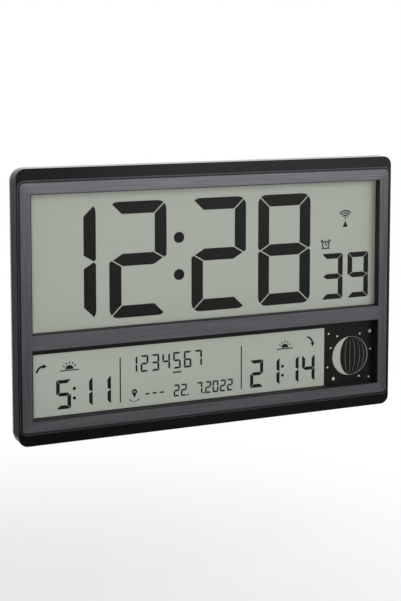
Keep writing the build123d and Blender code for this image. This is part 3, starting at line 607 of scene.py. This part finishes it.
def segment(name, left, low, width, height, stroke, gap, corner):
    """One of the seven bars of a figure whose plate starts at (left, low)."""
    right, high, middle = left + width, low + height, low + height / 2
    bar = plate(left, low, width, height, corner)
    slip = gap / 2 ** 0.5
    reach = stroke * POINT_REACH
    side = 1 if name in "bc" else -1
    upright = right if name in "bc" else left
    if name in "ad":
        up = 1 if name == "a" else -1
        edge = high if name == "a" else low
        cut(bar, (left, edge - up * stroke), (0, -up))
        cut(bar, (left + slip, edge), (-1, -up))
        cut(bar, (right - slip, edge), (1, -up))
    elif name == "g":
        for way in (1, -1):
            cut(bar, (left, middle + way * stroke / 2), (0, way))
            cut(bar, (left + reach, middle), (-POINT_SLOPE, way))
            cut(bar, (right - reach, middle), (POINT_SLOPE, way))
    else:
        up = 1 if name in "bf" else -1
        edge = high if name in "bf" else low
        cut(bar, (upright - side * stroke, middle), (-side, 0))
        cut(bar, (upright, edge - up * slip), (-side, up))
        cut(bar, (upright - side * reach, middle + up * gap * 1.2), (-side * POINT_SLOPE, -up))
        cut(bar, (upright, middle + up * gap * 2.2), (side, -up))
    return bar


def figures(drawing, text, lefts, size):
    """A row of figures of one size, each with its own left edge."""
    for sign, left in zip(text, lefts):
        for name in FIGURES[sign]:
            add(drawing, segment(name, left, **size))


# %% The time
INK_DEPTH = 11.29
INK = 0.02
TIME_SIZE = {"low": -18.3, "width": 58.1, "height": 113.9, "stroke": 12.1, "gap": 1.1, "corner": 9.0}
SECOND_SIZE = {"low": -17.2, "width": 24.3, "height": 48.2, "stroke": 5.5, "gap": 0.5, "corner": 2.7}


def dot(drawing, across, up, radius, sides=24):
    """A filled round spot."""
    place = Matrix.Translation((across, up, 0))
    bmesh.ops.create_circle(drawing, cap_ends=True, segments=sides, radius=radius, matrix=place)


def on_display(drawing, name):
    """Lays dark segments just in front of the display glass."""
    finish_piece(drawing, name, liquid_crystal, front_sheet(INK_DEPTH), INK)


time_sheet = bmesh.new()
figures(time_sheet, "1228", (-176.2, -105.1, -21.2, 50.2), TIME_SIZE)
for up in (57.5, 20.4):
    dot(time_sheet, -34.1, up, 5.5)
on_display(time_sheet, "time_figures")

second_sheet = bmesh.new()
figures(second_sheet, "39", (121.6, 151.5), SECOND_SIZE)
on_display(second_sheet, "second_figures")

# %% [markdown]
# ## The lower display
# It repeats the same seven bars at a smaller size: the hour the sun rises on the left, the date in the middle
# and the hour it sets on the right. Thin upright lines part the three fields.

# %% The small figures
SUN_SIZE = {"low": -102.35, "width": 14.4, "height": 28.6, "stroke": 3.5, "gap": 0.35, "corner": 1.2}
DATE_SIZE = {"low": -102.5, "width": 6.3, "height": 12.2, "stroke": 1.65, "gap": 0.2, "corner": 0.6}

sun_sheet = bmesh.new()
figures(sun_sheet, "511", (-158.1, -136.8, -118.5), SUN_SIZE)
figures(sun_sheet, "2114", (42.0, 60.3, 81.8, 100.1), SUN_SIZE)
for across in (-140.4, 78.0):
    for up in (-83.2, -92.6):
        dot(sun_sheet, across, up, 1.65, 16)
on_display(sun_sheet, "sun_time_figures")

date_sheet = bmesh.new()
figures(date_sheet, "22", (-40.0, -32.5), DATE_SIZE)
figures(date_sheet, "7", (-15.9,), DATE_SIZE)
figures(date_sheet, "2022", (-6.7, 1.2, 9.1, 16.7), DATE_SIZE)
figures(date_sheet, "---", (-70.4, -62.9, -55.4), DATE_SIZE)
for across in (-25.0, -8.0):
    dot(date_sheet, across, -101.7, 0.95, 12)
for across in (-94.75, 32.3):
    add(date_sheet, plate(across - 0.6, -102.3, 1.2, 44.8))
on_display(date_sheet, "date_figures")

# %% [markdown]
# ## The day of the week
# The display counts the week's days from 1 to 7 in a row of tall thin figures, and a bar under one of them
# marks today.

# %% A row of days with one marked
WEEK_SIZE = {"low": -74.1, "width": 8.0, "height": 16.8, "stroke": 1.9, "gap": 0.25, "corner": 0.7}
DAY_PITCH = 11.2
DAY_FIRST = -85.3
TODAY = 5
week_sheet = bmesh.new()
day_lefts = [DAY_FIRST + DAY_PITCH * i for i in range(7)]
figures(week_sheet, "1234567", day_lefts, WEEK_SIZE)
add(week_sheet, plate(day_lefts[TODAY - 1] - 0.4, -78.4, 8.8, 1.5, 0.3))
on_display(week_sheet, "weekday_figures")

# %% [markdown]
# ## Arcs, strokes and points
# The small signs of a display are drawn from three simple shapes. An arc is a short edge that `spin` turns
# round a centre. A stroke is a narrow plate turned into its direction. A point is a circle of three corners,
# which is a triangle, scaled to its width and height.

# %% The three shapes
def arc(drawing, centre, inner, outer, start=0.0, sweep=360.0, squeeze=1.0):
    """A piece of a ring, from the start angle on; squeeze makes it flatter."""
    part = bmesh.new()
    edge = part.edges.new([part.verts.new((radius, 0, 0)) for radius in (inner, outer)])
    turn = Matrix.Rotation(math.radians(start), 4, "Z")
    bmesh.ops.transform(part, matrix=turn, verts=part.verts[:])
    bmesh.ops.spin(
        part, geom=[*edge.verts, edge], cent=(0, 0, 0), axis=(0, 0, 1), angle=math.radians(sweep),
        steps=max(6, round(sweep / 9)), use_merge=sweep == 360, use_duplicate=False
    )
    bmesh.ops.scale(part, vec=(1, squeeze, 1), verts=part.verts[:])
    add(drawing, part, centre)


def stroke(drawing, start, end, width):
    """A straight line of a width between two points."""
    way = Vector(end) - Vector(start)
    add(drawing, plate(0, -width / 2, way.length, width), start, math.atan2(way.y, way.x))


def point(drawing, tip, width, height, turned=0.0):
    """A triangle that ends in a tip; unturned it points up, and it turns about the tip to the left."""
    part = bmesh.new()
    bmesh.ops.create_circle(part, cap_ends=True, segments=3, radius=1)
    bmesh.ops.translate(part, vec=(0, -1, 0), verts=part.verts[:])
    bmesh.ops.scale(part, vec=(width / 3 ** 0.5, height / 1.5, 1), verts=part.verts[:])
    add(drawing, part, tip, math.radians(turned))


def beyond(centre, angle, distance):
    """The point at a distance from a centre; the angle counts from the right, upwards."""
    direction = math.radians(angle)
    return (centre[0] + distance * math.cos(direction), centre[1] + distance * math.sin(direction))


# %% [markdown]
# ## Signs of the upper display
# Above the seconds stand two signs: a transmitter mast with waves, which says that the clock has found its
# radio signal, and a small alarm clock with two bells, which says that the alarm is set.

# %% Mast and alarm clock
def waves(drawing, centre, radii, width, half_angle):
    """Rows of arcs over a centre."""
    for radius in radii:
        arc(drawing, centre, radius - width / 2, radius + width / 2, 90 - half_angle, 2 * half_angle)


def alarm_clock(drawing, centre, radius, width):
    """A dial with two hands, two bells and two feet."""
    arc(drawing, centre, radius - width, radius)
    stroke(drawing, centre, beyond(centre, 90, 0.62 * radius), width)
    stroke(drawing, centre, beyond(centre, 0, 0.45 * radius), width)
    for side in (45, 135):
        arc(drawing, beyond(centre, side, 1.36 * radius), 0.12 * radius, 0.36 * radius)
        foot = beyond(centre, -side, 1.02 * radius)
        stroke(drawing, foot, beyond(centre, -side, 1.36 * radius), width)


signal_sheet = bmesh.new()
point(signal_sheet, (148.4, 64.9), 6.0, 6.8)
dot(signal_sheet, 148.4, 67.4, 1.0, 16)
waves(signal_sheet, (148.4, 66.4), (3.7, 6.25, 8.8), 1.4, 48)
on_display(signal_sheet, "signal_sign")

bell_sheet = bmesh.new()
alarm_clock(bell_sheet, (126.0, 40.3), 4.4, 1.25)
on_display(bell_sheet, "alarm_sign")

# %% [markdown]
# ## Signs of the lower display
# A curved arrow climbs beside the hour of sunrise and another falls beside the hour of sunset. Half a sun
# with rays stands over a level line next to each. A pin on a small ring marks the place.

# %% Arrows, suns and the pin
def half_sun(drawing, across, low, radius, width):
    """Half a disc with rays above a level line."""
    disc = bmesh.new()
    dot(disc, across, low, radius, 32)
    cut(disc, (across, low), (0, -1))
    add(drawing, disc)
    for angle in range(30, 151, 30):
        inner = beyond((across, low), angle, radius * 1.35)
        stroke(drawing, inner, beyond((across, low), angle, radius * 1.85), width)
    stroke(drawing, (across - radius * 2.3, low - width), (across + radius * 2.3, low - width), width)


sun_signs = bmesh.new()
arc(sun_signs, (-170.2, -65.4), 5.55, 7.5, 86, 88)
point(sun_signs, (-166.6, -58.9), 4.9, 4.2, -90)
arc(sun_signs, (104.3, -62.4), 6.6, 8.5, 4, 76)
point(sun_signs, (111.9, -65.6), 4.9, 4.2, 176)
for across in (-145.0, 80.5):
    half_sun(sun_signs, across, -63.8, 4.0, 1.1)
on_display(sun_signs, "sun_signs")

pin_sheet = bmesh.new()
arc(pin_sheet, (-80.4, -93.0), 1.0, 2.7)
point(pin_sheet, (-80.4, -99.4), 4.3, 4.9, 180)
arc(pin_sheet, (-80.4, -100.4), 3.8, 5.0, 180, 180, 0.5)
on_display(pin_sheet, "place_sign")

# %% [markdown]
# ## The moon
# The moon's face is cut by half ellipses, like the meridians of a globe, into slices that turn dark one after
# another through the month. A slice is made from half a circle of edges: squeezed sideways it is the first
# meridian, and its extruded copy, squeezed by another share, is the second.

# %% A slice of the moon
MOON = (155.5, -79.3)
MOON_RADIUS = 20.4
MERIDIANS = (-0.57, -0.285, 0.0, 0.285, 0.57, 0.8, 0.99)
MERIDIAN_LINE = 0.01


def moon_slice(drawing, first, second):
    """The face between two meridians, each given as a share of the radius, left of the middle below zero."""
    part = bmesh.new()
    bmesh.ops.create_circle(part, cap_ends=False, segments=64, radius=MOON_RADIUS)
    spare = [vert for vert in part.verts if vert.co.x < -0.001]
    bmesh.ops.delete(part, geom=spare, context="VERTS")
    start = part.verts[:]
    pulled = bmesh.ops.extrude_edge_only(part, edges=part.edges[:])
    end = [item for item in pulled["geom"] if isinstance(item, bmesh.types.BMVert)]
    bmesh.ops.scale(part, vec=(first, 1, 1), verts=start)
    bmesh.ops.scale(part, vec=(second, 1, 1), verts=end)
    bmesh.ops.remove_doubles(part, verts=part.verts[:], dist=0.01)
    add(drawing, part, MOON)


moon_sheet = bmesh.new()
for first, second in zip(MERIDIANS, MERIDIANS[1:]):
    moon_slice(moon_sheet, first + MERIDIAN_LINE / 2, second - MERIDIAN_LINE / 2)
on_display(moon_sheet, "moon_slices")

# %% [markdown]
# ## Stars
# The black film round the moon is sprinkled with small round stars and two larger ones with six points. A
# circle of twelve corners becomes a six-pointed star when every second corner is drawn in.

# %% The printed stars
PRINT_DEPTH = 11.1
STAR_WAIST = 0.32


def six_points(drawing, across, up, reach):
    """A star with six sharp points."""
    part = bmesh.new()
    bmesh.ops.create_circle(part, cap_ends=True, segments=12, radius=reach)
    part.verts.ensure_lookup_table()
    inner = [part.verts[i] for i in range(1, 12, 2)]
    bmesh.ops.scale(part, vec=(STAR_WAIST, STAR_WAIST, 1), verts=inner)
    add(drawing, part, (across, up))


star_sheet = bmesh.new()
for across, up in (
    (130.3, -53.8), (140.3, -57.2), (166.8, -56.5), (132.8, -69.2),
    (179.3, -74.0), (129.3, -89.5), (166.2, -102.2), (177.8, -104.0),
):
    dot(star_sheet, across, up, 0.95, 10)
for across, up in ((178.6, -54.8), (136.2, -102.2)):
    six_points(star_sheet, across, up, 2.6)
finish_piece(star_sheet, "printed_stars", pale_print, front_sheet(PRINT_DEPTH), INK)

# %% [markdown]
# ## Painted shade at the edge of the windows
# Between the bright face of the frame and the display the edge of each window lies in shade, which shows as a
# dark hairline. That shade is painted as a dark ring. A hairline on the sheet alone would float, so it is a
# shallow ring that lines the first half millimetre of each window. A plate as large as the window becomes a
# ring when it is inset by the width of the line and its middle is taken out.

# %% Line the windows
WINDOW_WIDTH = 365.4
WINDOWS = ((-25.55, 107.95), (-108.25, -39.75))
EDGE_LINE = 0.75
EDGE_DROP = 0.12
EDGE_DEPTH = 0.4


def window_ring(drawing, low, high):
    """A narrow ring along the inside of a window."""
    ring = plate(-WINDOW_WIDTH / 2, low, WINDOW_WIDTH, high - low)
    opening = ring.faces[:]
    bmesh.ops.inset_region(ring, faces=opening, thickness=EDGE_LINE, use_boundary=True, use_even_offset=True)
    bmesh.ops.delete(ring, geom=opening, context="FACES")
    add(drawing, ring)


# Painted shade: a dark grey finish for the ring, where the window's edge lies in shade.
painted_edge_shade, tree, shader = new_finish("painted_edge_shade", metallic=0.5)
tint(tree, shader, cloud(tree, 1200, 3), srgb(30, 30, 32), srgb(40, 39, 42))
polish(tree, shader, cloud(tree, 900), 0.42, 0.55)
edge_sheet = bmesh.new()
for low, high in WINDOWS:
    window_ring(edge_sheet, low, high)
finish_piece(edge_sheet, "window_edge_shade", painted_edge_shade, front_sheet(EDGE_DROP + EDGE_DEPTH), EDGE_DEPTH)

# %% [markdown]
# ## Marks on the keys
# The back is worked by touch as much as by sight, so its marks are moulded: each key carries a raised sign of
# a sixth of a millimetre. Seen from behind, the six signs are from left to right a dial for the time, plus
# and minus, the alarm clock, the waves of the radio search, and a leaf of a calendar. Each sign rides on its
# own key, so it sinks with it.

# %% Signs of the keys
KEY_LINE = 0.36
BOLD_LINE = 0.6


def dial_sign(drawing, across, up):
    """A clock face with two hands."""
    arc(drawing, (across, up), 1.55, 1.95)
    stroke(drawing, (across, up), (across, up + 1.25), 0.38)
    stroke(drawing, (across, up), (across + 0.9, up), 0.38)


def plus_sign(drawing, across, up):
    """Two crossed strokes, drawn as one upright and two stubs."""
    stroke(drawing, (across, up - 1.6), (across, up + 1.6), BOLD_LINE)
    for side in (-1, 1):
        stroke(drawing, (across + side * BOLD_LINE / 2, up), (across + 1.6 * side, up), BOLD_LINE)


def minus_sign(drawing, across, up):
    """One level stroke."""
    stroke(drawing, (across - 1.6, up), (across + 1.6, up), BOLD_LINE)


def small_alarm_sign(drawing, across, up):
    """The alarm clock of the display, smaller."""
    alarm_clock(drawing, (across, up - 0.1), 1.4, 0.34)


def search_sign(drawing, across, up):
    """A mast with two waves."""
    point(drawing, (across, up - 0.1), 1.6, 1.7)
    waves(drawing, (across, up + 0.1), (1.1, 1.9), KEY_LINE, 50)


def calendar_sign(drawing, across, up):
    """A leaf with a heading and four days."""
    for side in (-1, 1):
        stroke(drawing, (across + 1.6 * side, up - 1.7), (across + 1.6 * side, up + 1.7), KEY_LINE)
    stroke(drawing, (across - 1.42, up + 1.25), (across + 1.42, up + 1.25), 0.9)
    stroke(drawing, (across - 1.42, up - 1.52), (across + 1.42, up - 1.52), KEY_LINE)
    for i in (-0.6, 0.6):
        for j in (-0.75, 0.25):
            add(drawing, plate(across + i - 0.25, up + j - 0.25, 0.5, 0.5))


# %% Raise the six signs
KEY_TOP = 33.4
KEY_ROW = -2.0
KEY_PITCH = 17.0
FIRST_KEY = 82.5
KEY_RAISED = 0.16
FOOT = 0.02
signs = (calendar_sign, search_sign, small_alarm_sign, minus_sign, plus_sign, dial_sign)
for i, sign in reversed(list(enumerate(signs))):
    key = f"key_{i + 1}"
    key_sheet = bmesh.new()
    sign(key_sheet, FIRST_KEY - KEY_PITCH * i, KEY_ROW)
    finish_piece(key_sheet, f"{key}_sign", pale_print, back_sheet(KEY_TOP - FOOT), KEY_RAISED, key)

# %% [markdown]
# ## Marks on the panel and the flap
# The slide switch needs the words ON and OFF. Blender's text object draws them; it is turned into a mesh
# first, so that they are laid into the clock like any other drawing. A small alarm clock under the switch
# says what it turns on, and a ring marks the reset hole. The flap shows how the two cells lie, and an arrow
# by its notch shows the way to lift it.

# %% Words made into a drawing
def word(drawing, text, across, up, size):
    """Writes a word, centred on a point."""
    writing = bpy.data.curves.new("writing", "FONT")
    writing.body = text
    writing.size = size
    writing.align_x = "CENTER"
    writing.align_y = "CENTER"
    holder = bpy.data.objects.new("writing", writing)
    letters = bpy.data.meshes.new_from_object(holder)
    part = bmesh.new()
    part.from_mesh(letters)
    bmesh.ops.remove_doubles(part, verts=part.verts[:], dist=0.0001 * size)
    bpy.data.objects.remove(holder)
    bpy.data.curves.remove(writing)
    bpy.data.meshes.remove(letters)
    add(drawing, part, (across, up))


# %% Marks of the panel
PANEL_FLOOR = 32.0
PANEL_RAISED = 0.12
SLIDER_ROW = -21.0
WORD_SIZE = 3.4
panel_sheet = bmesh.new()
word(panel_sheet, "OFF", 23.6, SLIDER_ROW, WORD_SIZE)
word(panel_sheet, "ON", 5.3, SLIDER_ROW, WORD_SIZE)
alarm_clock(panel_sheet, (14.0, SLIDER_ROW - 6.4), 1.7, 0.38)
arc(panel_sheet, (-6.0, SLIDER_ROW), 1.9, 2.25)
finish_piece(panel_sheet, "panel_marks", pale_print, back_sheet(PANEL_FLOOR - FOOT), PANEL_RAISED)


# %% Marks of the flap
def cell_outline(drawing, left, low, length, height, plus_side, line=0.45):
    """Outline of a round cell with its nub, a plus at one end and a minus at the other."""
    middle = Vector((left + length / 2, low + height / 2))
    for up in (low, low + height):
        stroke(drawing, (left, up), (left + length, up), line)
    for across in (left, left + length):
        stroke(drawing, (across, low + line / 2), (across, low + height - line / 2), line)
    nub = middle + Vector((plus_side * (length / 2 + 0.6), 0))
    add(drawing, plate(nub.x - 0.375, nub.y - 0.18 * height, 0.75, 0.36 * height))
    for end in (-1, 1):
        sign = middle + Vector((end * (length / 2 - 3), 0))
        stroke(drawing, sign - Vector((1.2, 0)), sign + Vector((1.2, 0)), line)
        if end == plus_side:
            for up in (-1, 1):
                stroke(drawing, sign + Vector((0, up * line / 2)), sign + Vector((0, up * 1.2)), line)


FLAP_TOP = 33.8
FLAP_RAISED = 0.17
flap_sheet = bmesh.new()
for low, plus_side in ((3.2, 1), (-5.6, -1)):
    cell_outline(flap_sheet, -82.0, low, 32.0, 6.4, plus_side)
point(flap_sheet, (-66.0, 21.2), 3.2, 1.6)
on_flap = back_sheet(FLAP_TOP - FOOT)
finish_piece(flap_sheet, "flap_marks", grained_black, on_flap, FLAP_RAISED, "battery_door")

# %% [markdown]
# ## A floor that fades
# The clock hangs at a good height over a pale floor. A floor that ends in a hard line draws the eye away from
# the clock. Studios bend the paper up behind the object instead. Here the floor fades into the plain white of
# the backdrop towards its rim, for the camera's rays and for the rays that a mirror or a pane sends on, so
# the light that falls on the clock stays as it is.

# %% The floor
FLOOR_MIDDLE = (0, 1.4, -1.5)
FLOOR_RADIUS = 2.4
floor_sheet = bmesh.new()
bmesh.ops.create_circle(floor_sheet, cap_ends=True, segments=64, radius=FLOOR_RADIUS)
bmesh.ops.translate(floor_sheet, vec=FLOOR_MIDDLE, verts=floor_sheet.verts[:])
floor_mesh = bpy.data.meshes.new("floor")
floor_sheet.to_mesh(floor_mesh)
floor_sheet.free()
floor = bpy.data.objects.new("floor", floor_mesh)
bpy.context.scene.collection.objects.link(floor)
pale_floor, tree, shader = new_finish("pale_floor", roughness=0.9)
tint(tree, shader, cloud(tree, 3, 2), (0.9, 0.9, 0.9, 1), (0.93, 0.93, 0.93, 1))
floor_mesh.materials.append(pale_floor)
print("floor faces:", len(floor_mesh.polygons))

# %% Fade the floor into the backdrop
FADE_START = 0.2 * FLOOR_RADIUS
FADE_END = 0.92 * FLOOR_RADIUS


def seen_straight(tree, mirrored=1.0):
    """1 for the camera's rays and those through glass, a share for mirrored ones, 0 for the room's light."""
    ray = tree.nodes.new("ShaderNodeLightPath")
    through_glass = number(tree, "MAXIMUM", ray.outputs["Is Camera Ray"], ray.outputs["Is Transmission Ray"])
    sent_back = number(tree, "MULTIPLY", ray.outputs["Is Glossy Ray"], mirrored)
    return number(tree, "MAXIMUM", through_glass, sent_back)


from_centre = tree.nodes.new("ShaderNodeVectorMath")
from_centre.operation = "DISTANCE"
from_centre.inputs[1].default_value = FLOOR_MIDDLE
tree.links.new(surface_point(tree), from_centre.inputs[0])
fade = remap(tree, from_centre.outputs["Value"], FADE_START, FADE_END, change="SMOOTHSTEP")
glow = tree.nodes.new("ShaderNodeEmission")
glow.inputs["Color"].default_value = (1, 1, 1, 1)
white_share = number(tree, "MULTIPLY", seen_straight(tree), fade)
faded = mix_shaders(tree, white_share, shader.outputs["BSDF"], glow.outputs["Emission"])
tree.links.new(faded, tree.nodes["Material Output"].inputs["Surface"])
print("floor fades, m:", round(FADE_START, 3), "to", round(FADE_END, 3))

# %% [markdown]
# ## The room
# The room is one soft studio, painted by the direction in which a ray leaves the clock. Behind the clock it
# is white overhead and grey underfoot. In front it is palest at the horizon and darkest a little below it,
# and only the right part of that front wall gives its full light, the rest half of it. This is what the
# glossy case and the brushed bars mirror. The camera and the panes see plain white instead, and so do
# mirrored rays that go nearly straight back.

# %% Light by direction
world = bpy.data.worlds.new("studio")
bpy.context.scene.world = world
world.use_nodes = True
tree = world.node_tree
tree.nodes.clear()
direction = tree.nodes.new("ShaderNodeTexCoord")
split = tree.nodes.new("ShaderNodeSeparateXYZ")
tree.links.new(direction.outputs["Generated"], split.inputs["Vector"])


def height_ramp(steps):
    """Grey that follows the height of a direction; each step is the sine of its height and its light."""
    height = remap(tree, split.outputs["Z"], -1, 1)
    return grey_ramp(tree, height, [((sine + 1) / 2, light) for sine, light in steps], 1.01)


def towards(axis, edge):
    """How far a direction points along an axis, from 0 at the edge's first value to 1 at its second."""
    return remap(tree, split.outputs[axis], *edge)


# %% Walls and backdrop
FRONT_LIGHT = (
    (-1, 0.3), (-0.45, 0.14), (-0.31, 0.13), (-0.16, 0.52), (-0.12, 0.68), (0.0, 0.8), (0.2, 0.6), (1, 0.5)
)
REAR_LIGHT = ((-1, 0.4), (-0.45, 0.34), (-0.31, 0.36), (-0.16, 0.52), (-0.12, 0.66), (0.05, 0.9), (1, 1))
LEFT_SHARE = 0.5
LEFT_EDGE = (0.2, 0.3)
REAR_EDGE = (-0.2, 0.4)
BACKDROP_EDGE = (0.74, 0.9)
left_wall = height_ramp([(sine, LEFT_SHARE * light) for sine, light in FRONT_LIGHT])
front_wall = mix(tree, towards("X", LEFT_EDGE), left_wall, height_ramp(FRONT_LIGHT))
walls = mix(tree, towards("Y", REAR_EDGE), front_wall, height_ramp(REAR_LIGHT))
room = tree.nodes.new("ShaderNodeBackground")
tree.links.new(walls, room.inputs["Color"])
white = tree.nodes.new("ShaderNodeBackground")
white.inputs["Color"].default_value = (1, 1, 1, 1)
backdrop = seen_straight(tree, towards("Y", BACKDROP_EDGE))
seen = mix_shaders(tree, backdrop, room.outputs["Background"], white.outputs["Background"])
world_out = tree.nodes.new("ShaderNodeOutputWorld")
tree.links.new(seen, world_out.inputs["Surface"])
print("steps of grey in front and behind:", len(FRONT_LIGHT), len(REAR_LIGHT))

# %% [markdown]
# ## The lamps
# A large lamp stands high in front and to the right, where the brushed bars catch it softly. A smaller one
# stands at the front left, a little above the clock's middle, so the deep windows have hardly any shade. A
# third one lights the back. All of them keep clear of the mirror angle of the face.

# %% Three soft lamps
def lamp(name, spot, aim, size, power):
    """A square soft lamp that looks at a point."""
    data = bpy.data.lights.new(name, "AREA")
    data.size = size
    data.energy = power
    holder = bpy.data.objects.new(name, data)
    bpy.context.scene.collection.objects.link(holder)
    holder.location = spot
    holder.rotation_euler = (Vector(aim) - Vector(spot)).to_track_quat("-Z", "Y").to_euler()
    print(name, "stands at, m:", spot)


middle = (0, -0.017, -0.077)
lamp("front_lamp", (0.9, -2.4, 0.9), middle, 1.4, 33)
lamp("window_lamp", (-0.8, -2.4, 0.12), middle, 0.7, 19)
lamp("rear_lamp", (1.4, 2.1, 1.5), middle, 1.6, 26)

# %% [markdown]
# ## The camera
# The camera stands a little to the left and above, tilted down by a few degrees. A shifted lens keeps the
# upright edges nearly upright, and the shift is no larger than the framing needs.

# %% Place the camera
TILT_DOWN = 4.42
TURN_RIGHT = 19.46
camera_data = bpy.data.cameras.new("camera")
camera_data.sensor_width = 36
camera_data.lens = 62.91
camera_data.shift_x = -0.0008
camera_data.shift_y = -0.2678
camera = bpy.data.objects.new("camera", camera_data)
bpy.context.scene.collection.objects.link(camera)
camera.location = (-0.3550, -0.9958, 0.1566)
camera.rotation_euler = (math.radians(90 - TILT_DOWN), 0, math.radians(-TURN_RIGHT))
bpy.context.scene.camera = camera
print("camera to the clock's middle, m:", round((camera.location - Vector(middle)).length, 3))

# %% [markdown]
# ## Colours
# The colours are meant as they are written, so the view transform is Standard.

# %% Colours as they are written
bpy.context.scene.view_settings.view_transform = "Standard"
